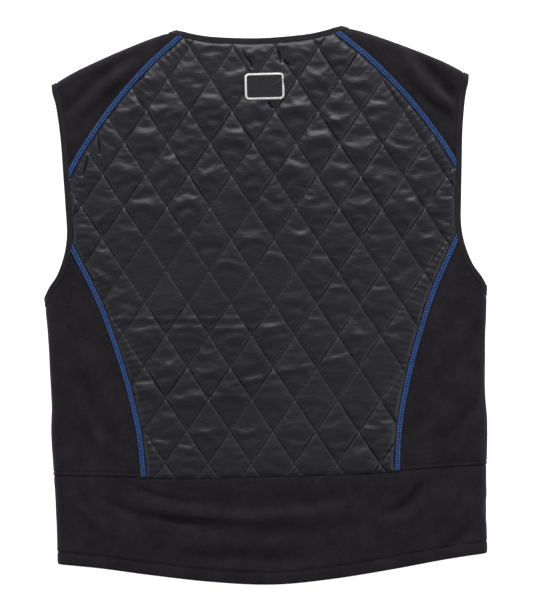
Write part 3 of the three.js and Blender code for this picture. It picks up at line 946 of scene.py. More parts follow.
def tubes(lines: np.ndarray, radius: np.ndarray, sides: int) -> tuple[np.ndarray, list[np.ndarray]]:
    """Closed round threads along many lines, none of them below the floor.

    Args:
        lines: for each thread, its points.
        radius: the radius at each point of a thread.
        sides: how many sides a thread has.

    Returns:
        Their points, and their faces in groups.
    """
    count, steps = lines.shape[:2]
    lines = np.stack([*lines.T[:2], np.maximum(lines.T[2], radius[:, None])]).T
    run = np.gradient(lines, axis=1)
    run /= np.linalg.norm(run, axis=2)[..., None]
    over = np.cross(run, np.array([0.11, 0.17, 0.98]))
    over /= np.linalg.norm(over, axis=2)[..., None]
    up = np.cross(over, run)
    turn = np.arange(sides) * 2 * math.pi / sides
    ring = over[:, :, None] * np.cos(turn)[:, None] + up[:, :, None] * np.sin(turn)[:, None]
    points = lines[:, :, None] + ring * np.reshape(radius, (1, -1, 1, 1))
    number = np.arange(count * steps * sides).reshape(count, steps, sides)
    near, far = number[:, :-1], number[:, 1:]
    following = np.roll(near, -1, axis=2), np.roll(far, -1, axis=2)
    walls = np.stack([near, far, following[1], following[0]], -1).reshape(-1, 4)
    ends = [number[:, 0], number[:, -1, ::-1]]
    return points.reshape(-1, 3), [walls, *ends]


@dataclass(frozen=True)
class Trim:
    """A strip of even section that runs along a line of the skin.

    Attributes:
        path: points on the skin along its run.
        closed: whether its end meets its start.
    """

    path: np.ndarray
    closed: bool

    @property
    def along(self) -> np.ndarray:
        """How far along the run each point of the path lies."""
        steps = np.linalg.norm(np.diff(self.path, axis=0), axis=1)
        return np.concatenate([[0], np.cumsum(steps)])

    @property
    def inwards(self) -> np.ndarray:
        """The directions to the right of the run, along the skin."""
        if self.closed:
            run = np.roll(self.path, -1, axis=0) - np.roll(self.path, 1, axis=0)
        else:
            run = np.gradient(self.path, axis=0)
        right = np.cross(run, outward(self.path))
        return right / np.linalg.norm(right, axis=1)[:, None]

    def place(self, across: np.ndarray, height: np.ndarray) -> np.ndarray:
        """Points beside the path.

        Args:
            across: for each point of the path, distances to the right of the run.
            height: the heights above the skin there.

        Returns:
            The points, a row of them for each point of the path.
        """
        flat = self.path[:, None] + self.inwards[:, None] * across[..., None]
        return settle(flat.reshape(-1, 3), height.ravel()).reshape(*across.shape, 3)

    def sweep(self, across: np.ndarray, height: np.ndarray) -> Patchwork:
        """A closed strip from the outline of its section at each point of the path.

        Args:
            across: the outline's distances to the right of the run.
            height: the outline's heights above the skin.

        Returns:
            The strip's mesh.
        """
        rings = self.place(across, height)
        steps, sides = across.shape
        number = np.arange(steps * sides).reshape(steps, sides)
        far = np.roll(number, -1, axis=0) if self.closed else number[1:]
        near = number if self.closed else number[:-1]
        walls = np.stack([near, far, np.roll(far, -1, axis=1), np.roll(near, -1, axis=1)], -1)
        strip = Patchwork()
        ends = [] if self.closed else [number[:1, ::-1], number[-1:]]
        strip.add(rings.reshape(-1, 3), walls.reshape(-1, 4), *ends)
        return strip


class Number:
    """A number in a material, which Python's operators turn into Math nodes."""

    def __init__(self, paint: "Paint", socket: bpy.types.NodeSocket) -> None:
        """Wraps a socket of a finish's tree."""
        self.paint = paint
        self.socket = socket

    def maths(self, operation: str, *values: "Number | float") -> "Number":
        """Adds a Math node.

        Args:
            operation: what it does.
            values: its inputs in order.

        Returns:
            Its result.
        """
        made = self.paint.node("Math", {"operation": operation}, dict(enumerate(values)))
        return Number(self.paint, made.outputs[0])

    def __add__(self, other: "Number | float") -> "Number":
        """Adds."""
        return self.maths("ADD", self, other)

    __radd__ = __add__

    def __sub__(self, other: "Number | float") -> "Number":
        """Subtracts."""
        return self.maths("SUBTRACT", self, other)

    def __rsub__(self, other: float) -> "Number":
        """Subtracts from a number."""
        return self.maths("SUBTRACT", other, self)

    def __mul__(self, other: "Number | float") -> "Number":
        """Multiplies."""
        return self.maths("MULTIPLY", self, other)

    __rmul__ = __mul__

    def __pow__(self, other: float) -> "Number":
        """Raises to a power."""
        return self.maths("POWER", self, other)

    def __abs__(self) -> "Number":
        """Drops the sign."""
        return self.maths("ABSOLUTE", self)

    def wave(self, length: float) -> "Number":
        """A sine wave of the given length along this number, from 0 to 1."""
        return self.maths("SINE", self * (2 * math.pi / length)) * 0.5 + 0.5

    def smooth(self, low: float, high: float) -> "Number":
        """Rises smoothly from 0 to 1 between two values."""
        settings = {"interpolation_type": "SMOOTHSTEP"}
        made = self.paint.node("MapRange", settings, {0: self, 1: low, 2: high})
        return Number(self.paint, made.outputs[0])


Colour = tuple[float, float, float]


class Paint:
    """The node tree of one finish, with the few things that every finish needs."""

    def __init__(self, name: str) -> None:
        """Starts a material with a shader and coordinates in millimetres."""
        self.material = bpy.data.materials.new(name)
        self.material.use_nodes = True
        self.tree = self.material.node_tree
        self.tree.nodes.clear()
        self.shader = self.node("BsdfPrincipled", {}, {})
        out = self.node("OutputMaterial", {}, {})
        self.tree.links.new(self.shader.outputs[0], out.inputs[0])
        place = self.node("TexCoord", {}, {})
        scaled = self.node("VectorMath", {"operation": "SCALE"}, {0: place.outputs["Object"], 3: 1000.0})
        self.place = scaled.outputs[0]
        parts = self.node("SeparateXYZ", {}, {0: self.place})
        self.x, self.y, self.z = (Number(self, parts.outputs[k]) for k in range(3))

    def node(self, kind: str, settings: dict[str, object], values: dict[int | str, object]) -> bpy.types.Node:
        """Adds a node.

        Args:
            kind: its type, without the words ShaderNode.
            settings: its own settings.
            values: what its inputs get: a value, a socket or a Number.

        Returns:
            The node.
        """
        made = self.tree.nodes.new("ShaderNode" + kind)
        for key, value in settings.items():
            setattr(made, key, value)
        for key, value in values.items():
            if isinstance(value, Number):
                value = value.socket
            if isinstance(value, bpy.types.NodeSocket):
                self.tree.links.new(value, made.inputs[key])
            else:
                made.inputs[key].default_value = value
        return made

    def noise(self, wave: tuple[float, float, float], detail: float = 2.0, rough: float = 0.5) -> Number:
        """Random waves of a size in millimetres along each axis, from 0 to 1."""
        scale = tuple(1 / length for length in wave)
        place = self.node("VectorMath", {"operation": "MULTIPLY"}, {0: self.place, 1: scale})
        values = {"Vector": place.outputs[0], "Scale": 1.0, "Detail": detail, "Roughness": rough}
        return Number(self, self.node("TexNoise", {}, values).outputs["Fac"])

    def blend(self, share: Number, first: Colour, second: Colour) -> bpy.types.NodeSocket:
        """A colour between two, by a share."""
        values = {0: share, 6: (*first, 1.0), 7: (*second, 1.0)}
        return self.node("Mix", {"data_type": "RGBA"}, values).outputs[2]

    def relief(self, height: Number, deep: float, strength: float = 1.0) -> None:
        """Raises the surface by a height from 0 to 1, times a depth in millimetres."""
        values = {"Height": height, "Distance": deep * MM, "Strength": strength}
        bump = self.node("Bump", {}, values)
        self.tree.links.new(bump.outputs[0], self.shader.inputs["Normal"])

    def dress(self, links: dict[str, object], values: dict[str, float | tuple[float, ...]]) -> None:
        """Sets the shader's sockets.

        Args:
            links: the sockets that vary over the surface, with what feeds them.
            values: the ones that are the same all over.
        """
        for key, source in links.items():
            socket = source.socket if isinstance(source, Number) else source
            self.tree.links.new(socket, self.shader.inputs[key])
        for key, value in values.items():
            self.shader.inputs[key].default_value = value


@dataclass(frozen=True)
class Finish(ABC):
    """What one kind of cloth or trim looks like."""

    name: str
    dark: Colour
    light: Colour
    rough: float

    @abstractmethod
    def make(self) -> bpy.types.Material:
        """The finish's material."""


@dataclass(frozen=True)
class Nylon(Finish):
    """Thin crinkled nylon over wadding, with a dull shine on its crests."""

    weave: float = 0.55
    crinkle_deep: float = 0.3

    def make(self) -> bpy.types.Material:
        """The finish's material."""
        paint = Paint(self.name)
        cloud = paint.noise((60, 45, 60), 3)
        speck = paint.noise((0.9, 0.9, 0.9), 1)
        crinkle = paint.noise((26, 12, 26), 2, 0.5)
        small = paint.noise((5.5, 3.4, 5.5), 3, 0.6)
        ridge = 1 - abs(crinkle * 2 - 1)
        threads = paint.x.wave(self.weave) * 0.5 + paint.y.wave(self.weave) * 0.5
        shade = (cloud * 0.7 + speck * 0.3).smooth(0.3, 0.7)
        paint.relief(ridge**4 * 0.6 + small * 0.6 + threads * 0.02, self.crinkle_deep)
        paint.dress(
            {
                "Base Color": paint.blend(shade, self.dark, self.light),
                "Roughness": speck * 0.08 + (self.rough - 0.04),
            },
            {"Specular IOR Level": 0.4, "IOR": 1.5},
        )
        return paint.material


@dataclass(frozen=True)
class Jersey(Finish):
    """Matt brushed jersey with fine knitted columns."""

    column: float = 1.1

    def make(self) -> bpy.types.Material:
        """The finish's material."""
        paint = Paint(self.name)
        cloud = paint.noise((24, 30, 24), 4, 0.6)
        nap = paint.noise((1.6, 3.2, 1.6), 3, 0.6)
        columns = (paint.x + nap * 0.5).wave(self.column)
        shade = (cloud * 0.55 + nap * 0.45).smooth(0.32, 0.68)
        paint.relief(nap * 0.7 + columns * 0.3, 0.3)
        paint.dress(
            {
                "Base Color": paint.blend(shade, self.dark, self.light),
                "Roughness": nap * 0.06 + (self.rough - 0.03),
            },
            {
                "Specular IOR Level": 0.12,
                "Sheen Weight": 0.06,
                "Sheen Roughness": 0.6,
                "Sheen Tint": (0.8, 0.78, 0.86, 1.0),
            },
        )
        return paint.material


@dataclass(frozen=True)
class Ribbing(Finish):
    """Dense black ribbed tape."""

    def make(self) -> bpy.types.Material:
        """The finish's material."""
        paint = Paint(self.name)
        nap = paint.noise((0.8, 0.8, 0.8), 3, 0.6)
        cloud = paint.noise((25, 25, 25), 2)
        paint.relief(nap, 0.22)
        paint.dress(
            {
                "Base Color": paint.blend((cloud * 0.5 + nap * 0.5).smooth(0.3, 0.7), self.dark, self.light),
                "Roughness": nap * 0.08 + (self.rough - 0.04),
            },
            {"Specular IOR Level": 0.2, "Sheen Weight": 0.05, "Sheen Roughness": 0.5},
        )
        return paint.material


@dataclass(frozen=True)
class Thread(Finish):
    """Sewing thread, with the twist of its strands."""

    twist: float = 0.5
    shine: float = 0.35

    def make(self) -> bpy.types.Material:
        """The finish's material."""
        paint = Paint(self.name)
        strands = (paint.x + paint.y * 0.7).wave(self.twist)
        cloud = paint.noise((7, 7, 7), 2)
        paint.relief(strands, 0.12)
        paint.dress(
            {
                "Base Color": paint.blend((cloud * 0.6 + strands * 0.4).smooth(0.25, 0.75), self.dark, self.light),
                "Roughness": cloud * 0.1 + (self.rough - 0.05),
            },
            {"Specular IOR Level": self.shine},
        )
        return paint.material


@dataclass(frozen=True)
class Twill(Finish):
    """Plain close-woven cloth with a slanting grain."""

    grain: float = 0.9

    def make(self) -> bpy.types.Material:
        """The finish's material."""
        paint = Paint(self.name)
        nap = paint.noise((1.2, 1.2, 1.2), 2)
        slant = (paint.x + paint.y).wave(self.grain)
        paint.relief(slant * 0.7 + nap * 0.3, 0.2)
        paint.dress(
            {
                "Base Color": paint.blend((slant * 0.5 + nap * 0.5).smooth(0.2, 0.8), self.dark, self.light),
                "Roughness": nap * 0.1 + (self.rough - 0.05),
            },
            {"Specular IOR Level": 0.25},
        )
        return paint.material


@dataclass(frozen=True)
class Backdrop(Finish):
    """Smooth white studio paper, lit from below like a light table."""

    glow: float = 0.8

    def make(self) -> bpy.types.Material:
        """The finish's material."""
        paint = Paint(self.name)
        fibre = paint.noise((3, 3, 3), 2)
        paint.dress(
            {
                "Base Color": paint.blend(fibre, self.dark, self.light),
                "Roughness": fibre * 0.05 + self.rough,
            },
            {"Specular IOR Level": 0.1, "Emission Color": (1.0, 1.0, 1.0, 1.0), "Emission Strength": self.glow},
        )
        return paint.material


@dataclass
class Wardrobe:
    """The finishes of the vest, each made once."""

    nylon: bpy.types.Material = field(
        default_factory=lambda: Nylon("nylon", (0.0080, 0.0071, 0.0115), (0.0122, 0.0108, 0.0168), 0.48).make()
    )
    jersey: bpy.types.Material = field(
        default_factory=lambda: Jersey("jersey", (0.0062, 0.0052, 0.0068), (0.0164, 0.0134, 0.0178), 0.95).make()
    )
    ribbing: bpy.types.Material = field(
        default_factory=lambda: Ribbing("ribbing", (0.0075, 0.0073, 0.0085), (0.016, 0.0155, 0.018), 0.85).make()
    )
    blue_tape: bpy.types.Material = field(
        default_factory=lambda: Thread("blue_tape", (0.004, 0.008, 0.030), (0.007, 0.016, 0.060), 0.8).make()
    )
    blue_thread: bpy.types.Material = field(
        default_factory=lambda: Thread("blue_thread", (0.030, 0.085, 0.28), (0.068, 0.165, 0.46), 0.6).make()
    )
    dark_thread: bpy.types.Material = field(
        default_factory=lambda: Thread("dark_thread", (0.006, 0.006, 0.008), (0.014, 0.014, 0.018), 0.7).make()
    )
    patch: bpy.types.Material = field(
        default_factory=lambda: Twill("patch_cloth", (0.008, 0.008, 0.010), (0.020, 0.020, 0.024), 0.7).make()
    )
    pale_thread: bpy.types.Material = field(
        default_factory=lambda: Thread("pale_thread", (0.74, 0.74, 0.73), (0.95, 0.95, 0.93), 0.6).make()
    )
    zip_tape: bpy.types.Material = field(
        default_factory=lambda: Twill("zip_tape", (0.006, 0.006, 0.007), (0.014, 0.014, 0.016), 0.75).make()
    )
    zip_teeth: bpy.types.Material = field(
        default_factory=lambda: Twill("zip_teeth", (0.009, 0.009, 0.010), (0.016, 0.016, 0.018), 0.4).make()
    )
    paper: bpy.types.Material = field(
        default_factory=lambda: Backdrop("paper", (0.93, 0.93, 0.93), (0.95, 0.95, 0.95), 0.9).make()
    )


def hand_over(piece: bpy.types.Object, slot: str, *nodes: str) -> None:
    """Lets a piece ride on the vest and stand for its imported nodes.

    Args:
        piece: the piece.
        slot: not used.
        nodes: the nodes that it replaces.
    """
    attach(piece, BODY)
    if nodes:
        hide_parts(*nodes)


@dataclass
class Lattice:
    """The diamonds that are stitched through the quilting.

    Attributes:
        wide: a diamond's width.
        high: a diamond's height.
        middle: one crossing of the stitch lines.
        lean: the lattice's turn in degrees.
    """

    wide: float = 50.3
    high: float = 74.8
    middle: tuple[float, float] = (9.1, 3.6)
    lean: float = -1.9

    @property
    def axes(self) -> tuple[np.ndarray, np.ndarray]:
        """The directions across and along a diamond."""
        turn = math.radians(self.lean)
        across = np.array([math.cos(turn), math.sin(turn)])
        return across, np.array([-across[1], across[0]])

    def counts(self, x: np.ndarray, y: np.ndarray) -> tuple[np.ndarray, np.ndarray]:
        """Counts the stitch lines of each family up to some points; whole numbers lie on a line."""
        across, along = self.axes
        dx, dy = x - self.middle[0], y - self.middle[1]
        i = (dx * across[0] + dy * across[1]) / self.wide
        j = (dx * along[0] + dy * along[1]) / self.high
        return i + j, i - j

    def plan(self, first: np.ndarray, second: np.ndarray) -> np.ndarray:
        """The points at counts of the two families of lines."""
        across, along = self.axes
        i, j = (first + second) / 2 * self.wide, (first - second) / 2 * self.high
        return np.array(self.middle) + i[..., None] * across + j[..., None] * along

    def grid(self, steps: int, beside: float = 0.0, reach: int = 13) -> np.ndarray:
        """Points in even steps along the lines, on them and between them.

        Args:
            steps: how many steps there are from line to line.
            beside: how far beside each line there is one more, as a share, or none.
            reach: how many lines there are on each side of the middle.

        Returns:
            The points in plan.
        """
        count = np.arange(-reach * steps, reach * steps + 1) / steps
        if beside:
            lines = np.arange(-reach, reach + 1)
            count = np.sort(np.concatenate([count, lines - beside, lines + beside]))
        first, second = np.meshgrid(count, count)
        return self.plan(first.ravel(), second.ravel())

    def puff(self, x: np.ndarray, y: np.ndarray) -> np.ndarray:
        """Share of the full puff, from 0 on a line of stitches to 1 in the middle of a diamond."""
        first, second = self.counts(x, y)
        return np.sqrt(np.abs(np.sin(math.pi * first) * np.sin(math.pi * second)))

    def offs(self, x: np.ndarray, y: np.ndarray) -> list[np.ndarray]:
        """The distances to the nearest line of stitches of each family."""
        spacing = self.wide * self.high / math.hypot(self.wide, self.high)
        return [np.abs(count - np.round(count)) * spacing for count in self.counts(x, y)]

    def away(self, x: np.ndarray, y: np.ndarray) -> np.ndarray:
        """The distance to the nearest line of stitches."""
        return np.minimum(*self.offs(x, y))

    def stitches(self, pitch: float, long: float, reach: int = 13) -> np.ndarray:
        """The stitches along every line.

        Args:
            pitch: the distance from one stitch to the next.
            long: the length of a stitch.
            reach: how many lines there are on each side of the middle.

        Returns:
            For each stitch its start, middle and end in plan.
        """
        side = math.hypot(self.wide, self.high) / 2
        centres = np.arange(-reach * side, reach * side, pitch) / side
        ends = centres[:, None] + np.array([-0.5, 0, 0.5]) * long / side
        found = []
        for line in range(-reach, reach + 1):
            whole = np.full(ends.shape, float(line))
            found.extend([self.plan(whole, ends), self.plan(ends, whole)])
        return np.vstack(found)


LATTICE = Lattice()


@dataclass
class Quilting:
    """The quilted back: a puffed panel of crinkled nylon and the stitches through it.

    Attributes:
        steps: points along a diamond's side.
        beside: how far beside a line of stitches its groove ends, as a share of a diamond's side.
        puff: how far the wadding stands above the stitches.
        groove: how deep the thread cuts in.
        thick: the thickness under the stitches.
        pucker: how far the seams draw the cloth into small pleats.
        wrinkle: how high a wrinkle is against its width.
        wrinkle_count: how many wrinkles there are in a diamond.
        crease: how strong the lasting creases are.
        tail: how many times as wide a crease's lower slope is as its upper one.
        corner: how far from a crossing of the stitches the cloth lies softer.
        seed: which wrinkles they are.
        frames: how many frames the cloth settles for.
        spare: how much more nylon than wadding there is, across and along.
        uneven: how uneven the nylon is where it was cut.
        slack: the share of the cloth run's movement that is kept.
        cap: the furthest that the cloth run may move a point.
        hold: how firmly the wadding holds the nylon.
        stiff: how stiff the nylon is in bending.
    """

    wardrobe: Wardrobe
    steps: int = 18
    beside: float = 0.024
    puff: float = 1.7
    groove: float = 0.62
    thick: float = 2.6
    pucker: float = 0.75
    wrinkle: float = 0.3
    wrinkle_count: int = 4
    crease: float = 0.86
    tail: float = 2.2
    corner: float = 5.0
    seed: int = 12
    frames: int = 20
    spare: tuple[float, float] = (0.018, 0.03)
    uneven: float = 0.2
    slack: float = 0.45
    cap: float = 1.6
    hold: float = 0.12
    stiff: float = 200.0

    def region(self, chart: np.ndarray) -> np.ndarray:
        """Which places on the chart belong to the panel."""
        room = PATTERN.room(chart, Layer.BACK)
        inner = (room["raglan"] < 0) & (room["side"] < 0) & (room["waist"] > PATTERN.gap)
        return PATTERN.clear(room) & inner

    def lines(self) -> list[np.ndarray]:
        """The panel's edges."""
        seam, edge = -PATTERN.seam_room, -PATTERN.edge_room
        right = [
            PATTERN.raglan.shifted(seam),
            PATTERN.side.shifted(seam),
            PATTERN.armhole(Layer.BACK).shifted(edge),
        ]
        both = [*right, *(line.mirrored() for line in right)]
        both.append(PATTERN.neck(Layer.BACK).shifted(edge))
        both.append(PATTERN.waist.shifted(PATTERN.gap))
        edges = [line.resampled(2.2).points for line in both]
        return edges + [dent.run(aside * dent.wide) for dent in DENTS for aside in (-1.1, 0, 1.1)]

    def liveliness(self, plan: np.ndarray) -> np.ndarray:
        """How strongly the nylon is wrinkled: less in its calm patches and low down."""
        x, y = plan[:, 0], plan[:, 1]
        calm = sum(np.exp(-(((x - u) / w) ** 2) - ((y - v) / h) ** 2) for u, v, w, h in CALM)
        patchy = 0.2 * Ripple((60, 48), 71).at(x, y)
        return np.clip(0.85 + 0.3 * smoothstep(40, 160, y) + patchy - 0.95 * calm, 0.1, 1.25)

    def wrinkles(self, x: np.ndarray, y: np.ndarray) -> np.ndarray:
        """The height of the loose nylon's random wrinkles, a few in each diamond."""
        draw = np.random.default_rng(self.seed)
        height = np.zeros(len(x))
        whole = np.arange(-9, 10) + 0.5
        for centre in LATTICE.plan(*(count.ravel() for count in np.meshgrid(whole, whole))):
            for _ in range(self.wrinkle_count):
                place = centre + draw.normal(0, 1, 2) * (8.0, 9.0)
                long, turn = draw.uniform(15, 38), draw.normal(4, 22)
                bend, wide = draw.normal(2, 4), draw.uniform(1.3, 3.6)
                high = draw.uniform(0.4, 1.0) * wide * self.wrinkle * (1 if draw.random() < 0.7 else -1)
                near = np.abs(x - place[0]) + np.abs(y - place[1]) < 40
                if near.any():
                    fold = Fold("wrinkle", *place, long, turn, bend, high, wide)
                    height[near] += fold.height(x[near], y[near], self.tail)
        return height

    def clearance(self, room: dict[str, np.ndarray]) -> np.ndarray:
        """The distance to the nearest edge of the panel."""
        edge = np.minimum(np.minimum(room["neck"], room["armhole"]) - PATTERN.edge_room, room["waist"])
        seam = np.minimum(np.abs(room["raglan"]), np.abs(room["side"])) - PATTERN.seam_room
        return np.minimum(edge, seam)

    def height(self, plan: np.ndarray) -> np.ndarray:
        """How far the nylon stands above the plain skin before it settles."""
        x, y = plan[:, 0], plan[:, 1]
        share = LATTICE.puff(x, y)
        offs = LATTICE.offs(x, y)
        steep = np.prod([1 - np.exp(-off / 1.7) for off in offs], axis=0)
        lively = self.liveliness(plan)
        full = self.puff * (1 + 0.25 * Ripple((55, 50), 5).at(x, y)) * (0.6 + 0.4 * lively)
        height = full * (0.6 * steep + 0.4 * share)
        clear = smoothstep(0.6, self.corner, np.maximum(*offs))
        height -= self.groove * np.exp(-((np.minimum(*offs) / 0.9) ** 2)) * (0.35 + 0.65 * clear)
        room = PATTERN.room(plan, Layer.BACK)
        rims = (
            (PATTERN.raglan, np.abs(room["raglan"]) - PATTERN.seam_room, 21),
            (PATTERN.side, np.abs(room["side"]) - PATTERN.seam_room, 22),
            (PATTERN.armhole(Layer.BACK), room["armhole"] - PATTERN.edge_room, 23),
        )
        seams_end = smoothstep(5.0, 18.0, np.minimum(np.abs(room["raglan"]), np.abs(room["side"])))
        for line, beyond, seed in rims:
            beyond = np.maximum(beyond, 0)
            along = line.measure(np.abs(x), y)[1]
            pleat = np.sin(2 * math.pi * (along + 2.5 * Ripple((30, 30), seed).at(x, y)) / 7.5)
            fade = np.exp(-beyond / 14) * (0.6 + 0.4 * Ripple((24, 24), seed + 4).at(x, y))
            height += self.pucker * pleat * fade * (seams_end if seed == 23 else 1)
        creases = sum(crease.height(x, y, self.tail) for crease in CREASES)
        height += self.crease * creases * (0.2 + 0.8 * steep)
        waves = Ripple((24, 13), 31).at(x, y) + 0.3 * Ripple((11, 7), 32).at(x, y)
        height += (0.35 * waves + self.wrinkles(x, y)) * (0.15 + 0.85 * steep) * lively
        near = self.clearance(room)
        height = height * smoothstep(-0.6, 4.0, near) - 0.5 * np.exp(-np.maximum(near, 0) / 1.2)
        return height + sum(dent.height(x, y) for dent in DENTS) * smoothstep(-0.6, 1.5, near)

    def settle_cloth(self, points: np.ndarray, triangles: np.ndarray, plan: np.ndarray) -> np.ndarray:
        """Lets the spare nylon between the stitches buckle, by a run of Blender's cloth.

        The nylon starts as it was cut, a little too long and wide, and its stitches draw together.

        Args:
            points: the skin's points in millimetres.
            triangles: its faces.
            plan: the points' places in plan.

        Returns:
            The settled points.
        """
        first, second = LATTICE.counts(plan[:, 0], plan[:, 1])
        off = np.minimum(np.abs(first - np.round(first)), np.abs(second - np.round(second)))
        near = self.clearance(PATTERN.room(plan, Layer.BACK))
        pins = np.where((off < self.beside * 1.1) | (near < 0.6), 1.0, self.hold)
        cloth = Patchwork()
        cut = points * (1 + self.spare[0], 1 + self.spare[1], 1)
        for axis, seed in ((0, 81), (1, 82)):
            cut[:, axis] += self.uneven * Ripple((15, 11), seed).at(points[:, 0], points[:, 1])
        cloth.add(cut, triangles)
        trial = cloth.build("settling_nylon", self.wardrobe.nylon)
        group = trial.vertex_groups.new(name="pins")
        for weight in np.unique(pins):
            group.add(np.flatnonzero(pins == weight).tolist(), float(weight), "REPLACE")
        trial.shape_key_add(name="Basis")
        sewn = trial.shape_key_add(name="sewn")
        sewn.data.foreach_set("co", (points * MM).ravel())
        for moment, share in ((1, 0.0), (self.frames // 2, 1.0)):
            sewn.value = share
            sewn.keyframe_insert("value", frame=moment)
        modifier = trial.modifiers.new("cloth", "CLOTH")
        settings = modifier.settings
        settings.quality = 4
        settings.mass = 0.001
        settings.tension_stiffness = 15
        settings.compression_stiffness = 15
        settings.shear_stiffness = 8
        settings.bending_stiffness = self.stiff
        settings.vertex_group_mass = "pins"
        settings.effector_weights.gravity = 0
        modifier.collision_settings.use_collision = False
        scene = bpy.context.scene
        for moment in range(1, self.frames + 1):
            scene.frame_set(moment)
        shown = trial.evaluated_get(bpy.context.evaluated_depsgraph_get())
        settled = np.empty(len(points) * 3)
        shown.data.vertices.foreach_get("co", settled)
        scene.frame_set(1)
        bpy.data.objects.remove(trial)
        moved = np.clip(settled.reshape(-1, 3) / MM - points, -self.cap, self.cap)
        LOG.info("nylon moved by up to %.2f mm, %.2f mm on average", np.abs(moved).max(), np.abs(moved).mean())
        from_crossing = np.maximum(*LATTICE.offs(plan[:, 0], plan[:, 1]))
        kept = self.slack * self.liveliness(plan) * smoothstep(0.5, 6.0, near)
        kept *= smoothstep(0.6, self.corner, from_crossing)
        return points + moved * kept[:, None]

    def build(self) -> None:
        """Makes the panel and its stitches."""
        grid = LATTICE.grid(self.steps, self.beside)
        box = (np.abs(grid[:, 0]) < 245) & (grid[:, 1] > -205) & (grid[:, 1] < 330)
        chart, triangles = fill_chart(self.lines(), grid[box], self.region, 0.9)
        plan = np.stack(SIDES.plan(chart)[:2], -1)
        outer = SIDES.lifted(chart, self.height(plan))
        outer = self.settle_cloth(outer, triangles, plan)
        inner = SIDES.lifted(chart, -self.thick)
        panel = thick_cloth(outer, inner, triangles).build("back_quilting", self.wardrobe.nylon)
        hand_over(panel, "quilt", "back_panel")
        self.sew()

    def sew(self) -> None:
        """Makes the stitches that lie in the grooves."""
        lines = LATTICE.stitches(3.1, 2.5)
        centre = lines[:, 1]
        lines = lines[self.region(centre) & (np.abs(centre[:, 0]) < 245)]
        plan = lines.reshape(-1, 2)
        height = np.tile([0.0, 0.3, 0.0], len(lines))
        points = SIDES.lifted(plan, self.height(plan) + height).reshape(-1, 3, 3)
        thread = Patchwork()
        found, faces = tubes(points, np.array([0.14, 0.3, 0.14]), 5)
        thread.add(found, *faces)
        hand_over(thread.build("quilting_stitches", self.wardrobe.dark_thread), "quilt")


@dataclass
class FrontQuilting:
    """The two quilted fronts, pressed flat by the floor.

    Attributes:
        steps: points along a diamond's side.
        deep: how deep the stitches lie.
        thick: the thickness between the stitches.
        zip_room: how far from the middle they begin.
    """

    wardrobe: Wardrobe
    steps: int = 10
    deep: float = 1.6
    thick: float = 4.2
    zip_room: float = 8.02

    def build(self) -> None:
        """Makes both panels."""
        for side in Side:
            self.build_panel(side)

    def build_panel(self, side: Side) -> None:
        """Makes the panel of one side."""

        def plan_of(chart: np.ndarray) -> np.ndarray:
            """The places in plan."""
            return np.stack(SIDES.plan(chart)[:2], -1)

        def keep(chart: np.ndarray) -> np.ndarray:
            """Which places on the chart belong to the panel."""
            plan = plan_of(chart)
            room = PATTERN.room(plan, Layer.FRONT)
            inner = (room["raglan"] < 0) & (room["side"] < 0) & (room["waist"] > PATTERN.gap)
            return PATTERN.clear(room) & inner & (plan[:, 0] * side.value > self.zip_room)

        seam, edge = -PATTERN.seam_room, -PATTERN.edge_room
        middle = np.array([[self.zip_room, -210.0], [self.zip_room, 215.0]])
        lines = [
            PATTERN.raglan.shifted(seam),
            PATTERN.side.shifted(seam),
            PATTERN.armhole(Layer.FRONT).shifted(edge),
            Curve(PATTERN.neck(Layer.FRONT).shifted(edge).points[40:]),
            Curve(PATTERN.waist.shifted(PATTERN.gap).points[24:]),
            Curve(middle),
        ]
        charts = []
        for line in lines:
            points = line.resampled(4.0).points * (side.value, 1)
            points = points[(points[:, 0] * side.value > 2) & inside_folds(points)]
            charts.append(SIDES.chart(points[:, 0], points[:, 1], Layer.FRONT))
        grid = LATTICE.grid(self.steps)
        across = grid[:, 0] * side.value
        grid = grid[(across > 3) & (across < 245) & (grid[:, 1] > -205) & (grid[:, 1] < 330)]
        grid = SIDES.chart(grid[:, 0], grid[:, 1], Layer.FRONT)
        chart, triangles = fill_chart(charts, grid, keep, 2.0)
        plan = plan_of(chart)
        share = LATTICE.puff(plan[:, 0], plan[:, 1])
        outer = SIDES.lifted(chart, -self.deep * (1 - share) ** 1.5)
        inner = SIDES.lifted(chart, -self.thick)
        name = f"front_quilting_{side.word}"
        panel = thick_cloth(outer, inner, triangles).build(name, self.wardrobe.nylon)
        hand_over(panel, "quilt", f"front_panel_{side.word}")


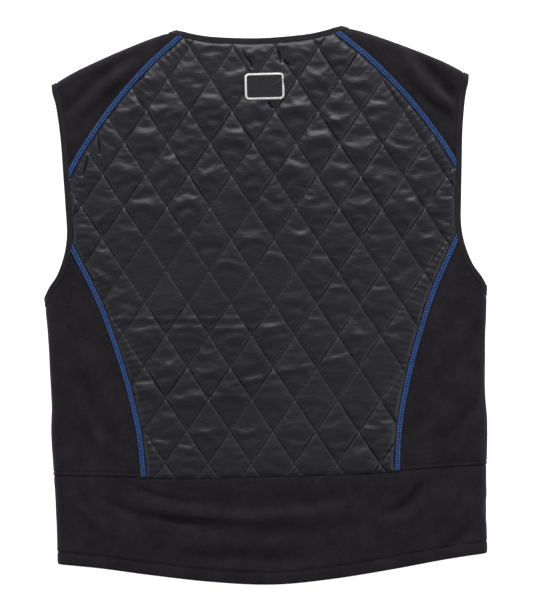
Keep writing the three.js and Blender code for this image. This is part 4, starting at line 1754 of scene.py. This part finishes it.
@dataclass
class JerseyCloth:
    """The jersey pieces: the yokes, the side panels and the waistband.

    Attributes:
        step: the size of the mesh.
        thick: the cloth's thickness.
        hem_thick: its thickness where the hem is turned up.
        hem_deep: how far the hem is turned up.
        zip_room: how far from the front's middle the waistband begins.
        loose: how strong the loose cloth's folds are.
    """

    wardrobe: Wardrobe
    step: float = 3.0
    thick: float = 2.0
    hem_thick: float = 3.4
    hem_deep: float = 14.0
    zip_room: float = 8.02
    loose: float = 2.3

    def build(self) -> None:
        """Makes all five pieces."""
        for side in Side:
            self.build_yoke(side)
            self.build_side_panel(side)
        self.build_waistband()

    def over_fold(self, line: Callable[[Layer], Curve], wrap: Wrap, side: Side) -> np.ndarray:
        """A line that runs on the back to a fold and back along the front.

        Args:
            line: gives the right-hand line of each layer.
            wrap: the chart round the fold.
            side: the side that it is wanted for.

        Returns:
            The line's places on the chart.
        """
        parts = []
        for layer in Layer:
            points = line(layer).resampled(0.05).points
            points = points[inside_folds(points)]
            away = FORM.side_x(points[:, 1]) - np.abs(points[:, 0])
            if wrap is SHOULDERS:
                away = FORM.shoulder_y(points[:, 0]) - points[:, 1]
            if (away[0] < away[-1]) == (layer is Layer.BACK):
                points = points[::-1]
            parts.append(wrap.chart(points[:, 0] * side.value, points[:, 1], layer))
        return even_steps(np.vstack(parts), self.step * 0.8)

    def fine(self, chart: np.ndarray) -> np.ndarray:
        """Small unevenness of the cloth, as heights above the skin."""
        slow = Ripple((34, 26), 41).at(chart[:, 0], chart[:, 1])
        quick = Ripple((11, 9), 42).at(chart[:, 0], chart[:, 1])
        return 0.35 * slow + 0.08 * quick

    def finish_piece(
        self,
        name: str,
        node: str,
        wrap: Wrap,
        chart: np.ndarray,
        triangles: np.ndarray,
        height: np.ndarray,
        thick: np.ndarray | float,
    ) -> None:
        """Gives a flat piece its place and thickness.

        Args:
            name: the piece's name.
            node: the node that it replaces.
            wrap: its chart.
            chart: its places on the chart.
            triangles: its faces.
            height: its heights above the skin.
            thick: its thickness.
        """
        outer = wrap.lifted(chart, height)
        outer[:, 2] = np.maximum(outer[:, 2], 0)
        inner = wrap.lifted(chart, height - thick)
        piece = thick_cloth(outer, inner, triangles).build(name, self.wardrobe.jersey)
        hand_over(piece, "jersey", node)
        area = chart_area(chart, triangles) * MM * MM

    def build_yoke(self, side: Side) -> None:
        """Makes the shoulder piece of one side."""

        def keep(chart: np.ndarray) -> np.ndarray:
            """Which places on the chart belong to the yoke."""
            x, y, lift = SHOULDERS.plan(chart)
            plan = np.stack([x, y], -1)
            inside = np.zeros(len(chart), dtype=bool)
            for layer in Layer:
                here = (chart[:, 0] * layer.value >= 0) & (x * side.value > 0)
                if here.any():
                    room = PATTERN.room(plan[here], layer)
                    inside[here] = PATTERN.clear(room) & (room["raglan"] > 0)
            return inside

        lines = [
            self.over_fold(lambda layer: self.upper_part(PATTERN.armhole(layer).shifted(-PATTERN.edge_room)), SHOULDERS, side),
            self.over_fold(lambda layer: self.neck_corner(PATTERN.neck(layer).shifted(-PATTERN.edge_room)), SHOULDERS, side),
        ]
        for layer in Layer:
            points = PATTERN.raglan.shifted(PATTERN.seam_room).resampled(self.step * 0.8).points
            points = points[inside_folds(points)]
            lines.append(SHOULDERS.chart(points[:, 0] * side.value, points[:, 1], layer))
        across = np.arange(60, 262, self.step) * side.value
        down = np.arange(-200, 200, self.step)
        grid = np.stack(np.meshgrid(down, across), -1).reshape(-1, 2)
        chart, triangles = fill_chart(lines, grid, keep, self.step * 0.45)
        height = self.fine(chart) * smoothstep(0, 10, np.abs(chart[:, 0]))
        height = height + self.edge_roll(SHOULDERS, chart)
        self.finish_piece(
            f"yoke_cloth_{side.word}", f"yoke_{side.word}", SHOULDERS, chart, triangles, height, self.thick
        )

    def upper_part(self, line: Curve) -> Curve:
        """The part of an armhole's line above the underarm."""
        return Curve(line.points[line.points[:, 1] > 100])

    def lower_part(self, line: Curve) -> Curve:
        """The part of an armhole's line at the underarm."""
        return Curve(line.points[line.points[:, 1] < 125])

    def neck_corner(self, line: Curve) -> Curve:
        """The part of the neck's line at the right shoulder."""
        return Curve(line.points[(line.points[:, 0] > 45) & (line.points[:, 1] > 280)])

    def edge_roll(self, wrap: Wrap, chart: np.ndarray) -> np.ndarray:
        """How far the cloth dips where it goes under a seam, a binding or the waist seam."""
        x, y, lift = wrap.plan(chart)
        plan = np.stack([x, y], -1)
        dip = np.zeros(len(chart))
        for layer in Layer:
            here = lift * layer.value >= 0
            if here.any():
                room = PATTERN.room(plan[here], layer)
                seam = np.minimum(np.abs(room["raglan"]), np.abs(room["side"])) - PATTERN.seam_room
                edge = np.minimum(room["neck"], room["armhole"]) - PATTERN.edge_room
                near = np.minimum(np.minimum(seam, edge), np.abs(room["waist"]))
                dip[here] = -0.7 * np.exp(-np.maximum(near, 0) / 1.4)
                above = np.maximum(room["waist"], 0)
                tucked = smoothstep(0.4, 1.5, above) * (1 - smoothstep(3.0, 4.4, above))
                dip[here] += 0.5 * tucked - 0.6 * np.exp(-(((above - 4.6) / 0.8) ** 2))
                if layer is Layer.BACK:
                    fade = smoothstep(0, 10, np.minimum(near, np.maximum(above - 5, 0)))
                    dip[here] += self.drape(plan[here]) * fade * smoothstep(0.2, 0.9, lift[here])
        return dip

    def drape(self, plan: np.ndarray) -> np.ndarray:
        """The height of the loose cloth's own folds at places in plan."""
        return self.loose * sum(fold.height(plan[:, 0], plan[:, 1]) for fold in DRAPES)

    def build_side_panel(self, side: Side) -> None:
        """Makes the side panel of one side."""

        def keep(chart: np.ndarray) -> np.ndarray:
            """Which places on the chart belong to the side panel."""
            x, y, lift = SIDES.plan(chart)
            plan = np.stack([x, y], -1)
            inside = np.zeros(len(chart), dtype=bool)
            back = np.abs(chart[:, 0]) < SIDES.half(chart[:, 1])
            for layer in Layer:
                here = (back == (layer is Layer.BACK)) & (chart[:, 0] * side.value > 0)
                if here.any():
                    room = PATTERN.room(plan[here], layer)
                    above = room["waist"] > PATTERN.gap
                    inside[here] = PATTERN.clear(room) & (room["side"] > 0) & above
            return inside

        lines = [
            self.over_fold(lambda layer: self.lower_part(PATTERN.armhole(layer).shifted(-PATTERN.edge_room)), SIDES, side),
        ]
        for away in (0.0, 1.0, 2.2, 3.4, 4.4, 5.6):
            lines.append(self.round_side(Curve(PATTERN.waist.shifted(PATTERN.gap + away).points[24:]), side))
        for layer in Layer:
            points = PATTERN.side.shifted(PATTERN.seam_room).resampled(self.step * 0.8).points
            lines.append(SIDES.chart(points[:, 0] * side.value, points[:, 1], layer))
        across = np.arange(130, 400, self.step) * side.value
        grid = np.stack(np.meshgrid(across, np.arange(-200, 100, self.step)), -1).reshape(-1, 2)
        chart, triangles = fill_chart(lines, grid, keep, self.step * 0.45)
        height = self.fine(chart) + self.edge_roll(SIDES, chart)
        self.finish_piece(
            f"side_cloth_{side.word}", f"side_panel_{side.word}", SIDES, chart, triangles, height, self.thick
        )

    def round_side(self, line: Curve, side: Side) -> np.ndarray:
        """A line that crosses the side fold, as places on the chart.

        Args:
            line: the line on the right half, from the middle outwards, the same on both layers.
            side: the side that it is wanted for.

        Returns:
            Its places on the chart, from the back's middle round to the front's.
        """
        points = line.resampled(0.05).points
        points = points[(points[:, 0] > 0) & inside_folds(points)]
        back = SIDES.chart(points[:, 0] * side.value, points[:, 1], Layer.BACK)
        front = SIDES.chart(points[:, 0] * side.value, points[:, 1], Layer.FRONT)
        return even_steps(np.vstack([back, front[::-1]]), self.step * 0.8)

    def build_waistband(self) -> None:
        """Makes the waistband, with its hem turned up inside."""

        def room_of(chart: np.ndarray) -> dict[str, np.ndarray]:
            """The room at places on either layer."""
            plan = np.stack(SIDES.plan(chart)[:2], -1)
            back = PATTERN.room(plan, Layer.BACK)
            front = PATTERN.room(plan, Layer.FRONT)
            on_back = np.abs(chart[:, 0]) < SIDES.half(chart[:, 1])
            return {key: np.where(on_back, back[key], front[key]) for key in back}

        def keep(chart: np.ndarray) -> np.ndarray:
            """Which places on the chart belong to the waistband."""
            room = room_of(chart)
            end = 2 * SIDES.half(chart[:, 1]) - self.flat_part(chart[:, 1]) - self.zip_room
            inside = np.abs(chart[:, 0]) < end
            return (room["hem"] > 0) & (room["waist"] < -PATTERN.gap) & inside

        lines = []
        for side in Side:
            for away in (0.0, 1.2, 2.6):
                lines.append(self.round_side(Curve(PATTERN.waist.shifted(-PATTERN.gap - away).points[24:]), side))
            for away in (0.0, 1.0, self.hem_deep - 1.3, self.hem_deep, self.hem_deep + 1.3, self.hem_deep + 2.8):
                lines.append(self.hem_line(away, side))
            y = np.arange(-320.0, -190.0, 3.0)
            end = (2 * SIDES.half(y) - self.flat_part(y) - self.zip_room) * side.value
            lines.append(np.stack([end, y], -1))
        across = np.arange(-520, 520, self.step)
        grid = np.stack(np.meshgrid(across, np.arange(-330, -190, self.step)), -1).reshape(-1, 2)
        chart, triangles = fill_chart(lines, grid, keep, self.step * 0.4)
        room = room_of(chart)
        waist = -0.9 * np.exp(-np.maximum(-room["waist"], 0) / 1.5)
        sewn = -0.8 * np.exp(-(((room["hem"] - self.hem_deep) / 1.2) ** 2))
        sewn += 0.35 * np.exp(-(((room["hem"] - self.hem_deep - 3.2) / 1.8) ** 2))
        plan = np.stack(SIDES.plan(chart)[:2], -1)
        back = np.abs(chart[:, 0]) < SIDES.half(chart[:, 1])
        fade = smoothstep(0, 7, -room["waist"]) * smoothstep(2, 20, room["hem"])
        loose = np.where(back, self.drape(plan) * fade, 0)
        turned = 0.35 * smoothstep(0, 3, room["hem"]) * (1 - smoothstep(10, 15, room["hem"]))
        edge = -0.5 * np.exp(-room["hem"] / 0.8)
        height = self.fine(chart) + waist + sewn + turned + edge + loose
        thick = np.where(room["hem"] < self.hem_deep + 0.5, self.hem_thick, self.thick)
        self.finish_piece(
            "waistband_cloth", "waistband", SIDES, chart, triangles, height, thick
        )

    def flat_part(self, y: np.ndarray) -> np.ndarray:
        """The distance that the roll adds to half the back, which the front's middle lies beyond, taken as none
        here.
        """
        return np.zeros(len(y))

    def hem_line(self, away: float, side: Side) -> np.ndarray:
        """A line beside the hem on one side, from the back's middle round to the front's."""
        parts = []
        for layer in Layer:
            points = PATTERN.hem(layer).shifted(away).resampled(0.05).points
            points = points[(points[:, 0] > 0) & inside_folds(points)]
            part = SIDES.chart(points[:, 0] * side.value, points[:, 1], layer)
            parts.append(part if layer is Layer.BACK else part[::-1])
        return even_steps(np.vstack(parts), self.step * 0.8)


@dataclass
class Bindings:
    """The ribbed tapes folded round the neck and the armholes.

    Attributes:
        wide: how far a tape reaches in from the edge.
        proud: how far it stands above the cloth.
        thick: the thickness of the bound edge.
        rib: the distance from one rib to the next.
        rib_high: how high the ribs are.
        widest: how many times its width a tape may get where it goes round a fold.
    """

    wardrobe: Wardrobe
    wide: float = 6.5
    proud: float = 0.5
    thick: float = 3.0
    rib: float = 2.1
    rib_high: float = 0.3
    widest: float = 2.1

    def edge_path(self, line: Callable[[Layer], np.ndarray]) -> list[np.ndarray]:
        """The skin's points along an edge on each layer."""
        return [on_skin(line(layer), layer) for layer in Layer]

    def build(self) -> None:
        """Makes the three bindings."""
        for side in Side:
            back, front = (self.armhole_edge(layer, side) for layer in Layer)
            ring = np.vstack([back, front[::-1]])
            self.bind(f"armhole_tape_{side.word}", f"armhole_binding_{side.word}", ring, True)
        back, front = (self.neck_edge(layer) for layer in Layer)
        right = front[front[:, 0] > 8.1][::-1]
        left = front[front[:, 0] < -8.1][::-1]
        self.bind("neck_tape", "neck_binding", np.vstack([left, back, right]), False)

    def armhole_edge(self, layer: Layer, side: Side) -> np.ndarray:
        """The armhole's edge on one layer, in the direction that keeps the cloth on its right."""
        points = PATTERN.armhole(layer).resampled(0.05).points
        points = points[inside_folds(points)]
        if side is Side.LEFT:
            points = (points * (-1, 1))[::-1]
        return on_skin(points, layer)

    def neck_edge(self, layer: Layer) -> np.ndarray:
        """The neck's edge on one layer, from left to right."""
        points = PATTERN.neck(layer).resampled(0.05).points
        return on_skin(points[inside_folds(points)], layer)

    def bind(self, name: str, node: str, ring: np.ndarray, closed: bool) -> None:
        """Makes one binding.

        Args:
            name: the piece's name.
            node: the node that it replaces.
            ring: the edge's points on the skin.
            closed: whether it goes all the way round.
        """
        if closed:
            ring = np.vstack([ring, ring[:1]])
        path = even_steps(ring, self.rib / 4)
        if closed:
            path = path[:-1]
        trim = Trim(path, closed)
        section = np.array(
            [
                (self.wide, -self.thick + self.proud),
                (self.wide, 0.0),
                (self.wide - 0.5, self.proud * 0.7),
                (self.wide - 1.3, self.proud),
                (self.wide - 2.1, self.proud * 0.55),
                (self.wide - 2.9, self.proud),
                (1.7, self.proud),
                (0.5, self.proud * 0.6),
                (-0.1, -0.3),
                (-0.1, -self.thick + self.proud + 0.6),
                (0.6, -self.thick + self.proud),
            ]
        )
        widen = self.reach(trim, node) / self.wide
        across = section[:, 0] * np.where(section[:, 0] > 3.5, widen[:, None], 1.0)
        outer = np.array([0, 0, 0.4, 0.6, 0, 1, 1, 1, 0.6, 0, 0])
        ribs = np.sin(math.pi * trim.along / self.rib) ** 2
        height = section[:, 1] + self.rib_high * outer * (ribs[:, None] - 0.5)
        piece = trim.sweep(across, height).build(name, self.wardrobe.ribbing)
        hand_over(piece, "binding", node)


    def reach(self, trim: Trim, node: str) -> np.ndarray:
        """How wide a tape must be at each point of its run to meet the cloth, also round a fold."""
        edge = "neck" if node.startswith("neck") else "armhole"
        found = np.full(len(trim.path), self.wide)
        for wide in np.arange(self.wide, self.wide * self.widest, 0.3)[::-1]:
            points = trim.place(np.full((len(found), 1), wide), np.zeros((len(found), 1)))[:, 0]
            for layer in Layer:
                here = (points[:, 2] - FORM.radius) * layer.value >= 0
                room = PATTERN.room(points[here, :2], layer)[edge]
                found[here] = np.where(room >= self.wide, wide, found[here])
        kept = np.convolve(np.pad(found, 3, mode="wrap" if trim.closed else "edge"), np.ones(7) / 7, "valid")
        return np.maximum(kept, self.wide)


@dataclass
class FlatSeams:
    """The blue flat seams: a low tape with threads that cross it like rungs.

    Attributes:
        wide: the seam's width.
        proud: how far it stands above the cloth.
        thick: the seam's thickness.
        pitch: the distance from one rung to the next.
        thread: the radius of a thread.
        row: how far from the middle the two rows that run along it lie.
    """

    wardrobe: Wardrobe
    wide: float = 7.6
    proud: float = 0.45
    thick: float = 2.6
    pitch: float = 2.4
    thread: float = 0.38
    row: float = 1.6

    def build(self) -> None:
        """Makes the eight seams."""
        for side in Side:
            for layer in Layer:
                prefix = "" if layer is Layer.BACK else "front_"
                for kind, line in (("raglan", PATTERN.raglan), ("side", PATTERN.side)):
                    node = f"{prefix}{kind}_seam_{side.word}"
                    self.build_seam(node, line, layer, side)

    def build_seam(self, node: str, line: Curve, layer: Layer, side: Side) -> None:
        """Makes one seam.

        Args:
            node: the node that it replaces.
            line: the seam's middle on the right half.
            layer: the layer that it is on.
            side: the side that it is on.
        """
        plan = line.resampled(0.4).points
        room = PATTERN.room(plan, layer)
        inside = np.minimum(room["neck"], room["armhole"]) > self.tuck
        plan = plan[inside & (room["waist"] > 0.2) & inside_folds(plan)] * (side.value, 1)
        path = even_steps(on_skin(plan, layer), self.pitch / 3)
        trim = Trim(path, False)
        sunk = 0.0 if layer is Layer.BACK else self.proud + 2 * self.thread
        half = self.wide / 2
        section = np.array(
            [
                (-half, -self.thick + self.proud),
                (-half, -0.1),
                (-half + 0.6, self.proud * 0.7),
                (-half * 0.5, self.proud),
                (half * 0.5, self.proud),
                (half - 0.6, self.proud * 0.7),
                (half, -0.1),
                (half, -self.thick + self.proud),
            ]
        )
        across = np.broadcast_to(section[:, 0], (len(path), len(section)))
        top = np.array([0, 0, 1, 1, 1, 1, 0, 0])
        flat = path[:, None] + trim.inwards[:, None] * across[..., None]
        height = section[:, 1] - (self.end_dip(flat, layer) + sunk) * top
        tape = trim.sweep(across[:, ::-1], height[:, ::-1])
        piece = tape.build(f"{node}_tape", self.wardrobe.blue_tape)
        hand_over(piece, "seam_thread", node)
        self.thread_seam(node, trim, layer, sunk)

    @property
    def tuck(self) -> float:
        """How far inside an edge a seam ends, a little way under the binding."""
        return PATTERN.binding_wide - 2.5

    def end_dip(self, points: np.ndarray, layer: Layer) -> np.ndarray:
        """How far the seam dips at some points where it goes under a binding."""
        room = PATTERN.room(points.reshape(-1, 3)[:, :2], layer)
        edge = np.minimum(room["neck"], room["armhole"]).reshape(points.shape[:-1])
        return 2.2 * (1 - smoothstep(PATTERN.binding_wide - 0.6, PATTERN.binding_wide + 0.8, edge))

    def thread_seam(self, node: str, trim: Trim, layer: Layer, sunk: float) -> None:
        """Lays the threads over one seam.

        Args:
            node: the seam's node.
            trim: the seam's run.
            layer: the layer that it is on.
            sunk: how far it is pressed in all along.
        """
        rungs = np.arange(1, len(trim.path) - 2, 3)
        steps = np.linspace(-1, 1, 7)
        reach = self.wide / 2 - 1.2
        run = np.gradient(trim.path, axis=0)
        run /= np.linalg.norm(run, axis=1)[:, None]
        lift = self.proud + self.thread * 0.9 + 0.25 * (1 - steps**2)
        centre = trim.path[rungs][:, None]
        right = trim.inwards[rungs][:, None]
        slant = run[rungs][:, None] * (steps * 0.55)[None, :, None]
        flat = centre + right * (steps * reach)[None, :, None] + slant
        height = lift[None] - sunk - self.end_dip(flat, layer)
        ladder = settle(flat.reshape(-1, 3), height.ravel()).reshape(flat.shape)
        threads = Patchwork()
        radius = self.thread * np.array([0.7, 1, 1, 1, 1, 1, 0.7])
        found, faces = tubes(ladder, radius, 6)
        threads.add(found, *faces)
        for across in (-self.row, self.row):
            start = np.arange(0, len(trim.path) - 4, 3)
            picks = start[:, None] + np.array([0, 1, 2, 3])
            line = trim.path[picks] + trim.inwards[picks] * across
            height = self.proud + np.array([0.1, 0.5, 0.5, 0.1]) - sunk - self.end_dip(line, layer)
            row = settle(line.reshape(-1, 3), height.ravel()).reshape(line.shape)
            found, faces = tubes(row, self.thread * np.array([0.6, 0.9, 0.9, 0.6]), 6)
            threads.add(found, *faces)
        piece = threads.build(f"{node}_threads", self.wardrobe.blue_thread)
        hand_over(piece, "seam_thread")


@dataclass
class Topstitching:
    """The rows of dark stitches along the hem and the waist seam."""

    wardrobe: Wardrobe
    pitch: float = 3.2
    side_panel: float = 152.0
    zip_room: float = 9.0

    def build(self) -> None:
        """Makes both rows on both layers."""
        thread = Patchwork()
        for layer in Layer:
            self.add_row(thread, PATTERN.hem(layer).shifted(14.0), layer, -0.3, self.zip_room)
            self.add_row(thread, PATTERN.waist.shifted(4.6), layer, -0.3, self.side_panel)
        piece = thread.build("jersey_stitches", self.wardrobe.dark_thread)
        hand_over(piece, "jersey")

    def add_row(self, thread: Patchwork, line: Curve, layer: Layer, height: float, inner: float) -> None:
        """Adds one row of stitches.

        Args:
            thread: the mesh that it is added to.
            line: where the row runs.
            layer: the layer that it is on.
            height: how far the stitches stand above the skin.
            inner: how far from the middle a row with a gap there begins.
        """
        points = line.resampled(0.2).points
        points = points[inside_folds(points)]
        if layer is Layer.BACK and inner == self.zip_room:
            halves = [points]
        else:
            halves = [points[points[:, 0] > inner], points[points[:, 0] < -inner]]
        for half in halves:
            path = even_steps(on_skin(half, layer), self.pitch / 8)
            start = np.arange(4, len(path) - 8, 8)
            row = path[start[:, None] + np.array([0, 3, 6])]
            lift = np.tile([height - 0.3, height, height - 0.3], len(row))
            row = settle(row.reshape(-1, 3), lift).reshape(row.shape)
            found, faces = tubes(row, np.array([0.14, 0.26, 0.14]), 5)
            thread.add(found, *faces)


@dataclass
class Patch:
    """The small plain patch below the neck, with a pale sewn border.

    Attributes:
        x: its middle across the vest.
        y: its middle along the vest.
        wide: its width.
        high: its height.
        corner: the radius of its corners.
        top: how far its face stands above the plain skin.
        thick: its thickness.
    """

    wardrobe: Wardrobe
    x: float = 4.9
    y: float = 256.0
    wide: float = 46.0
    high: float = 31.0
    corner: float = 5.0
    top: float = 3.0
    thick: float = 1.6
    border: float = 1.7

    def outline(self, inset: float, pitch: float) -> np.ndarray:
        """A rectangle with round corners, inset from the patch's edge.

        Args:
            inset: how far inside the edge it runs.
            pitch: the distance between its points.

        Returns:
            Its points, the last one before the first.
        """
        corner = max(self.corner - inset, 0.5)
        points = []
        for quarter, (sx, sy) in enumerate(((1, 1), (-1, 1), (-1, -1), (1, -1))):
            turn = np.radians(np.linspace(0, 90, 9) + 90 * quarter)
            middle_x = self.x + sx * (self.wide / 2 - inset - corner)
            middle_y = self.y + sy * (self.high / 2 - inset - corner)
            points.append(np.stack([middle_x + corner * np.cos(turn), middle_y + corner * np.sin(turn)], -1))
        ring = np.vstack([*points, points[0][:1]])
        return even_steps(ring, pitch)[:-1]

    def build(self) -> None:
        """Makes the patch and its border."""
        edge = self.outline(0.8, 1.0)
        closed = np.vstack([edge, edge[:1]])
        across = np.arange(self.x - self.wide / 2, self.x + self.wide / 2, 1.5)
        along = np.arange(self.y - self.high / 2, self.y + self.high / 2, 1.5)
        grid = np.stack(np.meshgrid(across, along), -1).reshape(-1, 2)

        def keep(chart: np.ndarray) -> np.ndarray:
            """Which places belong to the patch."""
            reach = np.abs(chart - (self.x, self.y)) - (self.wide / 2 - self.corner, self.high / 2 - self.corner)
            return np.linalg.norm(np.maximum(reach, 0), axis=1) < self.corner - 0.8

        chart, triangles = fill_chart([closed], grid, keep, 0.7)
        soft = 0.25 * LATTICE.puff(chart[:, 0], chart[:, 1]) + 0.12 * Ripple((9, 7), 61).at(chart[:, 0], chart[:, 1])
        outer = SIDES.lifted(chart, self.top + soft)
        inner = SIDES.lifted(chart, self.top - self.thick)
        cloth = thick_cloth(outer, inner, triangles).build("patch_cloth", self.wardrobe.patch)
        hand_over(cloth, "patch", "patch")
        self.sew_border()

    def sew_border(self) -> None:
        """Makes the threads that are wound over the patch's edge."""
        outer, inner = self.outline(0.1, 0.9), self.outline(self.border * 1.4, 0.9)
        count = min(len(outer), len(inner))
        outer = even_steps(np.vstack([outer, outer[:1]]), 0.75)[:-1]
        nearest = np.argmin(np.linalg.norm(outer[:, None] - inner[None], axis=2), axis=1)
        target = inner[nearest]
        share = np.linspace(0, 1, 5)
        plan = outer[:, None] * (1 - share[:, None]) + target[:, None] * share[:, None]
        lift = self.top + np.array([-1.1, 0.05, 0.5, 0.45, 0.05])
        flat = plan.reshape(-1, 2)
        points = SIDES.lifted(flat, np.tile(lift, len(outer))).reshape(-1, 5, 3)
        threads = Patchwork()
        found, faces = tubes(points, np.array([0.42, 0.45, 0.45, 0.45, 0.35]), 5)
        threads.add(found, *faces)
        LOG.info("patch border: %d threads, %d inner points", len(outer), count)
        hand_over(threads.build("patch_border", self.wardrobe.pale_thread), "patch")


@dataclass
class Zip:
    """The plain zip that closes the hidden front.

    Attributes:
        wide: the width of both tapes.
        thick: the room that it has above the floor; not used.
        pitch: the distance from one tooth to the next.
        low: where it starts above the hem.
        high: where it ends below the neck.
    """

    wardrobe: Wardrobe
    wide: float = 16.0
    thick: float = 4.0
    pitch: float = 2.6
    low: float = -303.6
    high: float = 189.0

    def block(self, x: tuple[float, float], y: tuple[float, float], z: tuple[float, float]) -> np.ndarray:
        """The corners of a block."""
        return np.array([(a, b, c) for c in z for a, b in ((x[0], y[0]), (x[1], y[0]), (x[1], y[1]), (x[0], y[1]))])

    def build(self) -> None:
        """Makes the tapes and the teeth."""
        faces = np.array([(3, 2, 1, 0), (4, 5, 6, 7), (0, 1, 5, 4), (1, 2, 6, 5), (2, 3, 7, 6), (3, 0, 4, 7)])
        half = self.wide / 2
        tape = Patchwork()
        section = np.array([(-half, 0.7), (-2.4, 0.7), (-2.0, 1.1), (2.0, 1.1), (2.4, 0.7), (half, 0.7),
                            (half, 2.0), (-half, 2.0)])
        rows = np.arange(self.low, self.high, 6.0)
        rings = np.stack([np.column_stack([section[:, 0], np.full(len(section), y), section[:, 1]]) for y in rows])
        number = np.arange(len(rows) * len(section)).reshape(len(rows), -1)
        walls = np.stack([number[:-1], np.roll(number[:-1], -1, axis=1), np.roll(number[1:], -1, axis=1), number[1:]], -1)
        tape.add(rings.reshape(-1, 3), walls.reshape(-1, 4), number[:1, ::-1], number[-1:])
        piece = tape.build("zip_tape", self.wardrobe.zip_tape, 30)
        hand_over(piece, "zip", "front_zip")
        teeth = Patchwork()
        for row, y in enumerate(np.arange(self.low + 14, self.high - 6, self.pitch / 2)):
            side = 1 if row % 2 else -1
            x = sorted((side * 2.6, -side * 0.7))
            teeth.add(self.block((x[0], x[1]), (y, y + self.pitch * 0.42), (0.05, 1.05)), faces)
        piece = teeth.build("zip_teeth", self.wardrobe.zip_teeth, 30)
        hand_over(piece, "zip")


@dataclass
class Studio:
    """The paper floor, the soft lights and the camera.

    Attributes:
        distance: how far above the vest the camera hangs.
        frame_high: the height of the picture on the vest.
        target: the picture's middle, in metres.
        roll: the camera's turn in degrees.
    """

    wardrobe: Wardrobe
    distance: float = 3.0
    frame_high: float = 0.7102
    target: tuple[float, float, float] = (0.0006, 0.0027, 0.018)
    roll: float = -1.5

    def build(self) -> None:
        """Sets up everything that isn't the vest."""
        self.lay_floor()
        self.light("key_light", (0.2, 4.4, 2.8), (4.6, 1.2), 350.0)
        self.light("left_fill", (-2.5, -0.5, 1.3), (1.6, 1.6), 14.0)
        self.light("right_fill", (2.4, -0.7, 1.4), (1.6, 1.6), 21.0)
        world = bpy.data.worlds.new("studio")
        world.use_nodes = True
        world.node_tree.nodes["Background"].inputs[0].default_value = (1.0, 1.0, 1.0, 1.0)
        world.node_tree.nodes["Background"].inputs[1].default_value = 0.22
        bpy.context.scene.world = world
        bpy.context.scene.view_settings.view_transform = "Standard"
        self.hang_camera()

    def lay_floor(self) -> None:
        """Lays the paper just below the vest."""
        floor = Patchwork()
        reach = 6000.0
        floor.add(
            np.array([(-reach, -reach, -0.3), (reach, -reach, -0.3), (reach, reach, -0.3), (-reach, reach, -0.3)]),
            np.array([(0, 1, 2, 3)]),
        )
        floor.build("floor", self.wardrobe.paper)

    def light(
        self, name: str, place: tuple[float, float, float], size: tuple[float, float], power: float
    ) -> None:
        """Hangs a soft light that shines at the vest.

        Args:
            name: its name.
            place: where it hangs, in metres.
            size: its width and height, in metres.
            power: its power, in watts.
        """
        lamp = bpy.data.lights.new(name, "AREA")
        lamp.shape = "RECTANGLE"
        lamp.size, lamp.size_y = size
        lamp.energy = power
        hung = bpy.data.objects.new(name, lamp)
        hung.location = place
        hung.rotation_euler = (-Vector(place)).to_track_quat("-Z", "Y").to_euler()
        bpy.context.scene.collection.objects.link(hung)

    def hang_camera(self) -> None:
        """Hangs the camera straight above the vest."""
        lens = bpy.data.cameras.new("camera")
        lens.sensor_width = 36.0
        lens.lens = 36.0 * self.distance / self.frame_high
        lens.clip_end = 50.0
        camera = bpy.data.objects.new("camera", lens)
        camera.location = (self.target[0], self.target[1], self.target[2] + self.distance)
        camera.rotation_euler = (0.0, 0.0, math.radians(self.roll))
        bpy.context.scene.collection.objects.link(camera)
        bpy.context.scene.camera = camera


def main() -> None:
    """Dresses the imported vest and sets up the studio."""
    logging.basicConfig(level=logging.INFO, format="%(message)s")
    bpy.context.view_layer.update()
    wardrobe = Wardrobe()
    Studio(wardrobe).build()
    parts = (
        Quilting(wardrobe),
        FrontQuilting(wardrobe),
        JerseyCloth(wardrobe),
        Bindings(wardrobe),
        FlatSeams(wardrobe),
        Topstitching(wardrobe),
        Patch(wardrobe),
        Zip(wardrobe),
    )
    for part in parts:
        part.build()


if __name__ == "__main__":
    main()
